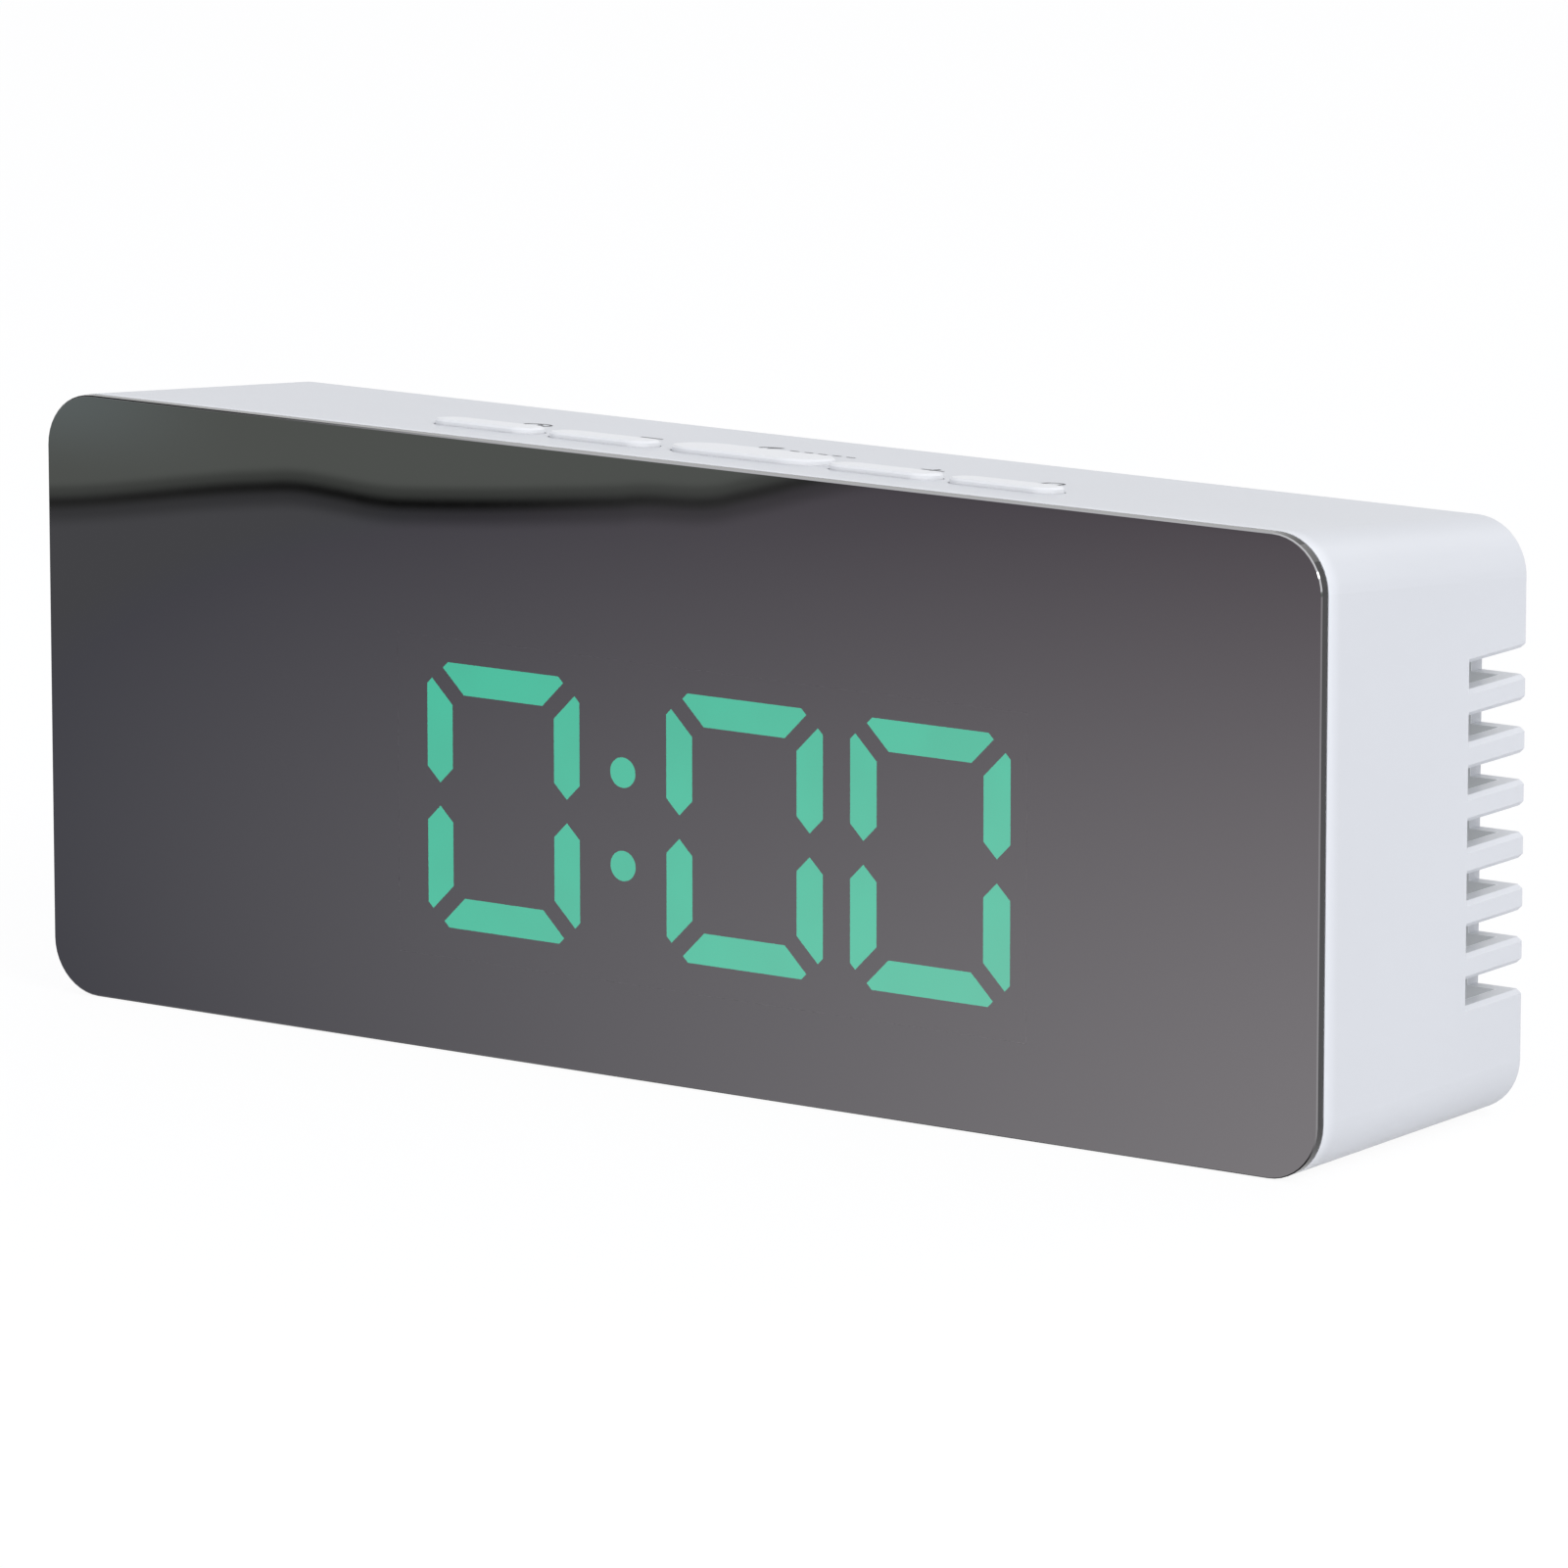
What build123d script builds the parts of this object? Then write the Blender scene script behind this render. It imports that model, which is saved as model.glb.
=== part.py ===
# Mirror alarm clock: a white housing behind a full-face half-mirror, with a lit digital display,
# five keys in a top that falls towards the rear, vent slots wrapped round both rear corners and a
# battery bay in the rear. All sizes are in millimetres.
#
# Frame: +X along the width (right when facing the mirror), +Y from the mirror to the rear,
# +Z up. The origin is under the middle of the clock, on the surface it stands on.

import os

from build123d import *

os.makedirs("parts", exist_ok=True)

# Driving sizes of the case
case_width = 140.0
case_height = 57.0            # at the mirror
case_depth = 34.3
top_fall = 3.2                # how much lower the top is at the rear
corner_radius = 5.1
wall = 1.8
rear_edge_round = 0.5
overrun = 1.0                 # how far a cutter passes the face it cuts

# Mirror and the tape that holds it
mirror_thickness = 0.95
mirror_edge_chamfer = 0.12
tape_thickness = 0.15
tape_setback = 0.4
tape_width = 4.0

# Black frame behind the mirror
frame_thickness = 1.0
frame_clearance = 0.2
window_clearance = 0.3

# Display
digit_width = 17.15
digit_height = 24.7
digit_pitch = 20.1
colon_space = 6.7
upright_stroke = 2.86
level_stroke = 2.9
segment_corner = 0.55
segment_inset = 1.8           # from a digit's corner to the tip of each outer segment
middle_gap = 1.08             # from the digit's mid-height to the tip of an upright segment
dot_radius = 1.4
dot_spacing = 8.6
display_centre_x = -4.9
display_drop = 4.87           # display's centre below the case's middle
display_margin = 3.6
display_corner = 1.0
mask_thickness = 0.15
display_recess = 0.05         # mask face behind the frame's face
reflector_depth = 6.0
fill_depth = 1.0
well_taper = 5.0              # degrees
display_board_thickness = 1.0
led_length = 1.6
led_width = 0.8
led_height = 0.6

# Keys along the top
key_width = 11.1
snooze_width = 16.2
key_gap = 1.86
key_depth = 4.2
snooze_depth = 7.0
key_row_centre_x = 1.8
key_front_setback = 8.6       # from the mirror's face to the keys' front
key_rise = 0.55
key_top_break = 0.2
key_corner = 1.75
snooze_corner = 3.2
key_clearance = 0.15
key_flange = 0.7
key_flange_thickness = 0.8
key_flange_gap = 0.1
key_post_width = 2.4
key_post_depth = 1.6
key_travel = 0.3

# Push switches, one under each key, lying on the board with the plunger upwards
switch_width = 7.0
switch_depth = 3.5
switch_height = 3.5
plunger_width = 2.8
plunger_depth = 1.4
plunger_rise = 0.8
plunger_seat = 1.3
plunger_clearance = 0.1

# Main board
board_thickness = 1.2
board_end_gap = 10.0          # from each end of the case
board_bottom_margin = 3.0     # above the floor of the housing's wall
board_hole_clearance = 0.15

# Bosses and screws
boss_radius = 2.4
boss_rib_thickness = 1.2      # rib from each frame boss to the end wall
boss_inset_x = 14.0           # board bosses, from the end of the case
boss_inset_z = 8.0
corner_boss_inset = 6.6       # frame bosses, from the end, top and bottom of the case
screw_radius = 1.0
screw_head_radius = 1.9
screw_head_height = 1.2
board_screw_length = 6.0
frame_screw_length = 7.0
pilot_clearance = 0.05
pilot_depth = 8.0
drive_recess_depth = 0.5
drive_recess_width = 0.45

# Batteries, their bay and its door
cell_radius = 5.25
cell_length = 43.7
cell_tip_radius = 1.9
cell_tip_length = 0.8
cell_pitch = 10.9
cell_clearance = 0.3
spring_room = 5.2
contact_thickness = 0.4
contact_width = 8.0
leaf_width = 5.0              # bowed spring leaf on each flat-end contact
leaf_height = 6.0
leaf_clearance = 0.1
tail_width = 2.0              # solder tail from a contact to the main board
tail_clearance = 0.2
bay_wall = 1.2
bay_centre_x = -20.0
cradle_width = 1.0
cradle_height = 2.0
door_thickness = 1.2
door_ledge = 1.2
door_gap = 0.2
door_seat_gap = 0.1
tab_width = 7.0
tab_thickness = 1.0
tab_reach = 0.9               # how far a tab goes under the rear wall
tab_clearance = 0.3
tab_spacing = 30.0
latch_width = 9.0
latch_length = 6.0
latch_slit = 0.6
latch_nose = 1.2
grip_ridge = 0.35
grip_pitch = 1.2
notch_radius = 5.0
notch_depth = 0.9

# Vent slots at both ends
slot_count = 7
slot_pitch = 4.75
slot_height = 2.4
slot_side_length = 9.9        # along the end wall, from the rear face
slot_rear_length = 4.7        # along the rear wall, from the end face
slot_edge_break = 0.4

# Power socket
socket_width = 8.9
socket_height = 3.2
socket_shell = 0.3
socket_clearance = 0.2
socket_recess = 0.5
socket_end_inset = 21.0       # from the end of the case
socket_board_lift = 7.5       # above the board's lower edge
tongue_width = 6.6
tongue_height = 0.7
tongue_setback = 0.8
socket_length = 9.0
socket_plug_depth = 3.0       # base of the tongue, inside the shell
socket_stand_margin = 0.4     # stand's outline, beyond the shell

# Depths worked out from the stack
front_y = -case_depth / 2
rear_y = case_depth / 2
mirror_back_y = front_y + mirror_thickness
rim_y = mirror_back_y + tape_thickness
frame_back_y = rim_y + frame_thickness
mask_y = rim_y + display_recess
reflector_y = mask_y + mask_thickness
reflector_back_y = reflector_y + reflector_depth
display_board_back_y = reflector_back_y + display_board_thickness
inner_rear_y = rear_y - wall
key_front_y = front_y + key_front_setback
key_centre_y = key_front_y + key_depth / 2
board_front_y = key_centre_y + switch_depth / 2
board_back_y = board_front_y + board_thickness

# The top falls in a straight line from the housing's rim to its rear
top_slope = top_fall / (rear_y - rim_y)


def top_z(y):
    """Height of the housing's top at the given depth."""
    return case_height - top_slope * (y - rim_y)


middle_z = case_height / 2
rear_middle_z = top_z(rear_y) / 2
display_centre_z = middle_z - display_drop
board_width = case_width - 2 * board_end_gap
inner_width = case_width - 2 * wall
inner_height = case_height - 2 * wall
inner_radius = corner_radius - wall

# The bay, from the door inwards
door_outer_y = rear_y
door_inner_y = rear_y - door_thickness
cell_axis_y = door_inner_y - cell_clearance - cell_radius
bay_floor_y = cell_axis_y - cell_radius - cell_clearance / 3
bay_length = cell_length + cell_tip_length + spring_room + contact_thickness
bay_height = 2 * cell_pitch + 2 * cell_radius + 2 * cell_clearance
bay_left_x = bay_centre_x - bay_length / 2
bay_right_x = bay_centre_x + bay_length / 2
bay_bottom_z = rear_middle_z - bay_height / 2
bay_top_z = rear_middle_z + bay_height / 2

# Heights of the key stack, from the switches up to the key tops
flange_rear_y = key_front_y + snooze_depth + key_flange
flange_bottom_z = top_z(flange_rear_y) - wall - key_flange_gap - key_flange_thickness
plunger_top_z = flange_bottom_z - key_travel
switch_top_z = plunger_top_z - plunger_rise
board_top_z = switch_top_z
board_bottom_z = wall + board_bottom_margin
socket_x = case_width / 2 - socket_end_inset
socket_z = board_bottom_z + socket_board_lift


def depth_plane(y):
    """A sketch plane that faces the mirror side, at the given depth."""
    return Plane.XZ.offset(-y)


def slope_plane(drop):
    """A plane parallel to the sloping top, the given drop below it."""
    return Plane(origin=(0, rim_y, case_height - drop), z_dir=(0, top_slope, 1))


def save(builder, name):
    """Label a finished piece and write it under its own name."""
    builder.part.label = name
    export_step(builder.part, f"parts/{name}.step")


# Key places: name, middle along X, width, depth and corner radius
key_table = []
row_width = 4 * key_width + snooze_width + 4 * key_gap
next_left = key_row_centre_x - row_width / 2
for key_name in ("set", "minus", "snooze", "plus", "alarm"):
    is_snooze = key_name == "snooze"
    this_width = snooze_width if is_snooze else key_width
    this_depth = snooze_depth if is_snooze else key_depth
    this_corner = snooze_corner if is_snooze else key_corner
    key_table.append((key_name, next_left + this_width / 2, this_width, this_depth, this_corner))
    next_left += this_width + key_gap

board_boss_places = [
    (side * (case_width / 2 - boss_inset_x), z)
    for side in (-1, 1)
    for z in (boss_inset_z, case_height - boss_inset_z)
]
tail_places = [
    (bay_left_x + contact_thickness / 2, rear_middle_z + cell_pitch),
    (bay_right_x - contact_thickness / 2, rear_middle_z - cell_pitch),
]
frame_boss_places = [
    (side * (case_width / 2 - corner_boss_inset), z)
    for side in (-1, 1)
    for z in (corner_boss_inset, case_height - corner_boss_inset)
]


# Housing: one moulding with the top, bottom, ends, rear, battery bay and bosses

def on_slot_edge(edge):
    """Level edges that a vent slot leaves on the outside of a rear corner."""
    middle = edge.center()
    outside_x = case_width / 2 - abs(middle.X) < rear_edge_round / 2
    outside_y = rear_y - middle.Y < rear_edge_round / 2
    level = edge.bounding_box().size.Z < rear_edge_round / 2
    group_reach = (slot_count * slot_pitch) / 2
    near_slots = (
        abs(middle.Z - rear_middle_z) < group_reach
        and abs(middle.X) > case_width / 2 - slot_rear_length
        and middle.Y > rear_y - slot_side_length
    )
    return level and near_slots and (outside_x or outside_y)


def add_bosses(places, tip_y):
    with BuildSketch(depth_plane(inner_rear_y)) as boss_ends:
        with Locations(*places):
            Circle(boss_radius)
    extrude(boss_ends.sketch, amount=inner_rear_y - tip_y)


def drill_pilots(places, tip_y):
    with BuildSketch(depth_plane(tip_y + pilot_depth)) as pilot_ends:
        with Locations(*places):
            Circle(screw_radius + pilot_clearance)
    extrude(pilot_ends.sketch, amount=pilot_depth, mode=Mode.SUBTRACT)


def cut_tail_slits(back_y, thickness):
    with BuildSketch(depth_plane(back_y)) as slits:
        with Locations(*tail_places):
            Rectangle(contact_thickness + 2 * tail_clearance, tail_width + 2 * tail_clearance)
    extrude(slits.sketch, amount=thickness, mode=Mode.SUBTRACT)


def shell_profile(y, inset):
    """The housing's cross-section at one depth, drawn in from its outside by the inset."""
    height = top_z(y)
    with BuildSketch(depth_plane(y), mode=Mode.PRIVATE) as profile:
        with Locations((0, height / 2)):
            RectangleRounded(case_width - 2 * inset, height - 2 * inset, corner_radius - inset)
    return profile.sketch


with BuildPart() as housing:
    loft([shell_profile(rim_y, 0), shell_profile(rear_y, 0)], ruled=True)
    fillet(housing.faces().sort_by(Axis.Y)[-1].edges(), rear_edge_round)
    loft([shell_profile(rim_y, wall), shell_profile(inner_rear_y, wall)], ruled=True,
         mode=Mode.SUBTRACT)

    # Vent slots that wrap round each rear corner
    first_slot_z = rear_middle_z - (slot_count - 1) / 2 * slot_pitch
    for side in (-1, 1):
        slot_floor = Plane.XY.offset(first_slot_z - slot_height / 2)
        with BuildSketch(slot_floor, mode=Mode.PRIVATE) as slot_plan:
            with Locations((side * (case_width / 2 - slot_rear_length), rear_y - slot_side_length)):
                Rectangle(
                    slot_rear_length + overrun,
                    slot_side_length + overrun,
                    align=(Align.MIN if side > 0 else Align.MAX, Align.MIN),
                )
        for index in range(slot_count):
            lift = index * slot_pitch
            extrude(slot_plan.sketch.moved(Location((0, 0, lift))), amount=slot_height,
                    mode=Mode.SUBTRACT)

    # Softened outer edges along each slot
    slot_edges = [edge for edge in housing.edges() if on_slot_edge(edge)]
    chamfer(slot_edges, slot_edge_break)

    # Bosses for the board and for the frame
    add_bosses(board_boss_places, board_back_y)
    add_bosses(frame_boss_places, frame_back_y)
    rib_length = corner_boss_inset - wall
    with BuildSketch(depth_plane(inner_rear_y)):
        for boss_x, boss_z in frame_boss_places:
            outward = Align.MIN if boss_x > 0 else Align.MAX
            with Locations((boss_x, boss_z)):
                Rectangle(rib_length, boss_rib_thickness, align=(outward, Align.CENTER))
    extrude(amount=inner_rear_y - frame_back_y)

    # Battery bay
    with BuildSketch(depth_plane(inner_rear_y)):
        with Locations((bay_centre_x, rear_middle_z)):
            Rectangle(bay_length + 2 * bay_wall, bay_height + 2 * bay_wall)
    extrude(amount=inner_rear_y - bay_floor_y + bay_wall)
    with BuildSketch(depth_plane(rear_y + overrun)):
        with Locations((bay_centre_x, rear_middle_z)):
            Rectangle(bay_length, bay_height)
    extrude(amount=rear_y + overrun - bay_floor_y, mode=Mode.SUBTRACT)
    with BuildSketch(depth_plane(bay_floor_y)):
        with Locations(*[(bay_centre_x, rear_middle_z + side * cell_pitch / 2) for side in (-1, 1)]):
            Rectangle(cell_length, cradle_width)
    extrude(amount=-cradle_height)
    cut_tail_slits(bay_floor_y, bay_wall)

    drill_pilots(board_boss_places, board_back_y)
    drill_pilots(frame_boss_places, frame_back_y)

    # Seat for the door, and the openings that its tabs go through
    with BuildSketch(depth_plane(rear_y + overrun)):
        with Locations((bay_centre_x, rear_middle_z)):
            Rectangle(bay_length + 2 * door_ledge, bay_height + 2 * door_ledge)
    extrude(amount=overrun + door_thickness + door_seat_gap, mode=Mode.SUBTRACT)
    tab_sweep_y = inner_rear_y - tab_thickness - tab_reach - tab_clearance
    with BuildSketch(depth_plane(door_inner_y)):
        with Locations(*[(bay_centre_x + side * tab_spacing / 2, bay_bottom_z) for side in (-1, 1)]):
            Rectangle(tab_width + 2 * tab_clearance, 2 * door_ledge)
    extrude(amount=door_inner_y - tab_sweep_y, mode=Mode.SUBTRACT)

    # Finger notch above the door's latch
    with BuildSketch(depth_plane(rear_y + overrun)):
        with Locations((bay_centre_x, bay_top_z + door_ledge)):
            Circle(notch_radius)
    extrude(amount=overrun + notch_depth, mode=Mode.SUBTRACT)

    # Key holes
    hole_bottom_z = top_z(flange_rear_y) - wall - overrun
    for key_name, key_x, this_width, this_depth, this_corner in key_table:
        with BuildSketch(Plane.XY.offset(hole_bottom_z)):
            with Locations((key_x, key_front_y + this_depth / 2)):
                RectangleRounded(
                    this_width + 2 * key_clearance,
                    this_depth + 2 * key_clearance,
                    this_corner + key_clearance,
                )
        extrude(amount=case_height + overrun - hole_bottom_z, mode=Mode.SUBTRACT)

    # Opening for the power socket
    with BuildSketch(depth_plane(rear_y + overrun)):
        with Locations((socket_x, socket_z)):
            RectangleRounded(
                socket_width + 2 * socket_clearance,
                socket_height + 2 * socket_clearance,
                socket_height / 2,
            )
    extrude(amount=wall + 2 * overrun, mode=Mode.SUBTRACT)

save(housing, "housing")


# Front frame: the black plate behind the mirror, with the display's window

block_width = 3 * digit_pitch + colon_space + digit_width + 2 * display_margin
block_height = digit_height + 2 * display_margin

with BuildPart() as front_frame:
    with BuildSketch(depth_plane(frame_back_y)):
        with Locations((0, middle_z)):
            RectangleRounded(
                inner_width - 2 * frame_clearance,
                inner_height - 2 * frame_clearance,
                inner_radius - frame_clearance,
            )
        with Locations((display_centre_x, display_centre_z)):
            RectangleRounded(
                block_width + 2 * window_clearance,
                block_height + 2 * window_clearance,
                display_corner + window_clearance,
                mode=Mode.SUBTRACT,
            )
        with Locations(*frame_boss_places):
            Circle(screw_radius + board_hole_clearance, mode=Mode.SUBTRACT)
    extrude(amount=frame_thickness)
    sink_depth = screw_head_radius - screw_radius - board_hole_clearance
    with BuildSketch(depth_plane(rim_y)):
        with Locations(*frame_boss_places):
            Circle(screw_head_radius + board_hole_clearance)
    extrude(amount=-sink_depth, taper=45, mode=Mode.SUBTRACT)

save(front_frame, "front_frame")

with BuildPart() as mirror_tape:
    with BuildSketch(depth_plane(rim_y)):
        with Locations((0, middle_z)):
            RectangleRounded(
                case_width - 2 * tape_setback,
                case_height - 2 * tape_setback,
                corner_radius - tape_setback,
            )
            Rectangle(
                case_width - 2 * tape_setback - 2 * tape_width,
                case_height - 2 * tape_setback - 2 * tape_width,
                mode=Mode.SUBTRACT,
            )
    extrude(amount=tape_thickness)

save(mirror_tape, "mirror_tape")

with BuildPart() as mirror_panel:
    with BuildSketch(depth_plane(mirror_back_y)):
        with Locations((0, middle_z)):
            RectangleRounded(case_width, case_height, corner_radius)
    extrude(amount=mirror_thickness)
    chamfer(mirror_panel.faces().sort_by(Axis.Y)[0].edges(), mirror_edge_chamfer)

save(mirror_panel, "mirror_panel")


# Display: outlines of the seven segments, u from the digit's left and v from its bottom

def level_outline(edge_v, inward):
    """A top or bottom segment, whose outer side lies on edge_v."""
    slope = level_stroke - segment_corner
    return [
        (segment_inset, edge_v + inward * segment_corner),
        (segment_inset + segment_corner, edge_v),
        (digit_width - segment_inset - segment_corner, edge_v),
        (digit_width - segment_inset, edge_v + inward * segment_corner),
        (digit_width - segment_inset - slope, edge_v + inward * level_stroke),
        (segment_inset + slope, edge_v + inward * level_stroke),
    ]


def upright_outline(edge_u, inward, outer_v, towards_middle):
    """A side segment, whose outer side lies on edge_u and outer tip near outer_v."""
    tip_v = outer_v + towards_middle * (segment_inset - segment_corner / 3)
    middle_v = digit_height / 2 - towards_middle * middle_gap
    shoulder_v = middle_v - towards_middle * upright_stroke / 2
    return [
        (edge_u, tip_v + towards_middle * segment_corner),
        (edge_u + inward * segment_corner, tip_v),
        (
            edge_u + inward * upright_stroke,
            tip_v + towards_middle * (upright_stroke - segment_corner),
        ),
        (edge_u + inward * upright_stroke, shoulder_v),
        (edge_u + inward * upright_stroke / 2, middle_v),
        (edge_u, shoulder_v),
    ]


def middle_outline():
    half_stroke = level_stroke / 2
    mid_v = digit_height / 2
    return [
        (segment_inset, mid_v),
        (segment_inset + half_stroke, mid_v + half_stroke),
        (digit_width - segment_inset - half_stroke, mid_v + half_stroke),
        (digit_width - segment_inset, mid_v),
        (digit_width - segment_inset - half_stroke, mid_v - half_stroke),
        (segment_inset + half_stroke, mid_v - half_stroke),
    ]


outer_segments = [
    level_outline(digit_height, -1),
    level_outline(0, 1),
    upright_outline(0, 1, digit_height, -1),
    upright_outline(digit_width, -1, digit_height, -1),
    upright_outline(0, 1, 0, 1),
    upright_outline(digit_width, -1, 0, 1),
]

digits_width = 3 * digit_pitch + colon_space + digit_width
first_digit_x = display_centre_x - digits_width / 2
digit_lefts = [
    first_digit_x + index * digit_pitch + (colon_space if index > 1 else 0)
    for index in range(4)
]
digit_bottom_z = display_centre_z - digit_height / 2


def placed(outline, digit_left):
    return [(digit_left + u, digit_bottom_z + v) for u, v in outline]


# The display reads 0:00, so the first digit and every middle segment are dark
lit_outlines = [placed(outline, left) for left in digit_lefts[1:] for outline in outer_segments]
unlit_outlines = [placed(outline, digit_lefts[0]) for outline in outer_segments]
unlit_outlines += [placed(middle_outline(), left) for left in digit_lefts]
dot_places = [
    (display_centre_x, display_centre_z + side * dot_spacing / 2)
    for side in (-1, 1)
]


def draw_outlines(outlines):
    for outline in outlines:
        Polygon(*outline, align=None)


def draw_dots():
    with Locations(*dot_places):
        Circle(dot_radius)


mouth_y = reflector_y + fill_depth

with BuildPart() as display_mask:
    with BuildSketch(depth_plane(reflector_y)):
        with Locations((display_centre_x, display_centre_z)):
            RectangleRounded(block_width, block_height, display_corner)
    extrude(amount=mask_thickness)
    with BuildSketch(depth_plane(reflector_y)):
        draw_outlines(lit_outlines + unlit_outlines)
        draw_dots()
    extrude(amount=mask_thickness, mode=Mode.SUBTRACT)

save(display_mask, "display_mask")

with BuildPart() as lit_segments:
    with BuildSketch(depth_plane(mouth_y)):
        draw_outlines(lit_outlines)
    extrude(amount=mouth_y - mask_y)

save(lit_segments, "lit_segments")

with BuildPart() as unlit_segments:
    with BuildSketch(depth_plane(mouth_y)):
        draw_outlines(unlit_outlines)
    extrude(amount=mouth_y - mask_y)

save(unlit_segments, "unlit_segments")

with BuildPart() as colon_dots:
    with BuildSketch(depth_plane(mouth_y)):
        draw_dots()
    extrude(amount=mouth_y - mask_y)

save(colon_dots, "colon_dots")

# Reflector block: a straight mouth for each segment, then a tapered light well
with BuildPart() as display_reflector:
    with BuildSketch(depth_plane(reflector_back_y)):
        with Locations((display_centre_x, display_centre_z)):
            RectangleRounded(block_width, block_height, display_corner)
    extrude(amount=reflector_depth)
    with BuildSketch(depth_plane(mouth_y), mode=Mode.PRIVATE) as well_mouths:
        draw_outlines(lit_outlines + unlit_outlines)
        draw_dots()
    extrude(well_mouths.sketch, amount=fill_depth, mode=Mode.SUBTRACT)
    extrude(well_mouths.sketch, amount=mouth_y - reflector_back_y, taper=well_taper,
            mode=Mode.SUBTRACT)

save(display_reflector, "display_reflector")

# Display board behind the reflector, joined to the main board by two pin strips
strip_pins = 6
strip_pin_spacing = 2.54
strip_pin_width = 0.64
strip_depth = 2.5
strip_length = strip_pins * strip_pin_spacing
strip_gap = board_front_y - display_board_back_y
strip_lift = digit_height / 2 + display_margin / 2
strip_places = [
    (display_centre_x + side * digit_pitch, display_centre_z + strip_lift)
    for side in (-1, 1)
]
pin_places = [
    (x + (index - (strip_pins - 1) / 2) * strip_pin_spacing, z)
    for x, z in strip_places
    for index in range(strip_pins)
]


def drill_pin_holes(back_y, thickness):
    with BuildSketch(depth_plane(back_y)) as pin_holes:
        with Locations(*pin_places):
            Rectangle(strip_pin_width + 2 * board_hole_clearance,
                      strip_pin_width + 2 * board_hole_clearance)
    extrude(pin_holes.sketch, amount=thickness, mode=Mode.SUBTRACT)


with BuildPart() as display_board:
    with BuildSketch(depth_plane(display_board_back_y)):
        with Locations((display_centre_x, display_centre_z)):
            Rectangle(block_width, block_height)
    extrude(amount=display_board_thickness)
    drill_pin_holes(display_board_back_y, display_board_thickness)

save(display_board, "display_board")

with BuildPart() as pin_strips:
    with BuildSketch(depth_plane(board_front_y)):
        with Locations(*strip_places):
            Rectangle(strip_length, strip_depth)
    extrude(amount=strip_gap)
    with BuildSketch(depth_plane(board_back_y)):
        with Locations(*pin_places):
            Rectangle(strip_pin_width, strip_pin_width)
    extrude(amount=board_thickness + strip_gap + display_board_thickness)

save(pin_strips, "pin_strips")

level_led_places = [
    (left + digit_width / 2, digit_bottom_z + v)
    for left in digit_lefts
    for v in (level_stroke / 2, digit_height / 2, digit_height - level_stroke / 2)
]
upright_led_places = [
    (left + u, digit_bottom_z + digit_height * height_share)
    for left in digit_lefts
    for u in (upright_stroke / 2, digit_width - upright_stroke / 2)
    for height_share in (0.27, 0.73)
]

with BuildPart() as segment_leds:
    with BuildSketch(depth_plane(reflector_back_y)):
        with Locations(*level_led_places):
            Rectangle(led_length, led_width)
        with Locations(*upright_led_places):
            Rectangle(led_width, led_length)
        with Locations(*dot_places):
            Rectangle(led_width, led_width)
    extrude(amount=led_height)

save(segment_leds, "segment_leds")


# Main board

with BuildPart() as main_board:
    with BuildSketch(depth_plane(board_back_y)):
        with Locations((0, (board_bottom_z + board_top_z) / 2)):
            Rectangle(board_width, board_top_z - board_bottom_z)
        with Locations(*board_boss_places):
            Circle(screw_radius + board_hole_clearance, mode=Mode.SUBTRACT)
    extrude(amount=board_thickness)
    drill_pin_holes(board_back_y, board_thickness)
    cut_tail_slits(board_back_y, board_thickness)

save(main_board, "main_board")


with BuildPart() as board_screws:
    with BuildSketch(depth_plane(board_front_y)):
        with Locations(*board_boss_places):
            Circle(screw_head_radius)
    extrude(amount=screw_head_height)
    with BuildSketch(depth_plane(board_front_y)):
        with Locations(*board_boss_places):
            Circle(screw_radius)
    extrude(amount=-board_screw_length)
    with BuildSketch(depth_plane(board_front_y - screw_head_height + drive_recess_depth)):
        with Locations(*board_boss_places):
            Rectangle(screw_head_radius, drive_recess_width)
            Rectangle(drive_recess_width, screw_head_radius)
    extrude(amount=drive_recess_depth, mode=Mode.SUBTRACT)

save(board_screws, "board_screws")

with BuildPart() as frame_screws:
    with BuildSketch(depth_plane(rim_y + sink_depth)):
        with Locations(*frame_boss_places):
            Circle(screw_radius)
    extrude(amount=-frame_screw_length)
    with BuildSketch(depth_plane(rim_y)):
        with Locations(*frame_boss_places):
            Circle(screw_radius + sink_depth)
    extrude(amount=-sink_depth, taper=45)
    with BuildSketch(depth_plane(rim_y)):
        with Locations(*frame_boss_places):
            Rectangle(screw_head_radius, drive_recess_width)
            Rectangle(drive_recess_width, screw_head_radius)
    extrude(amount=-drive_recess_depth, mode=Mode.SUBTRACT)

save(frame_screws, "frame_screws")


# Keys, each with its switch body on the board and the plunger that moves with the key

switch_bottom_z = switch_top_z - switch_height
plunger_bottom_z = switch_top_z - plunger_seat

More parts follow.
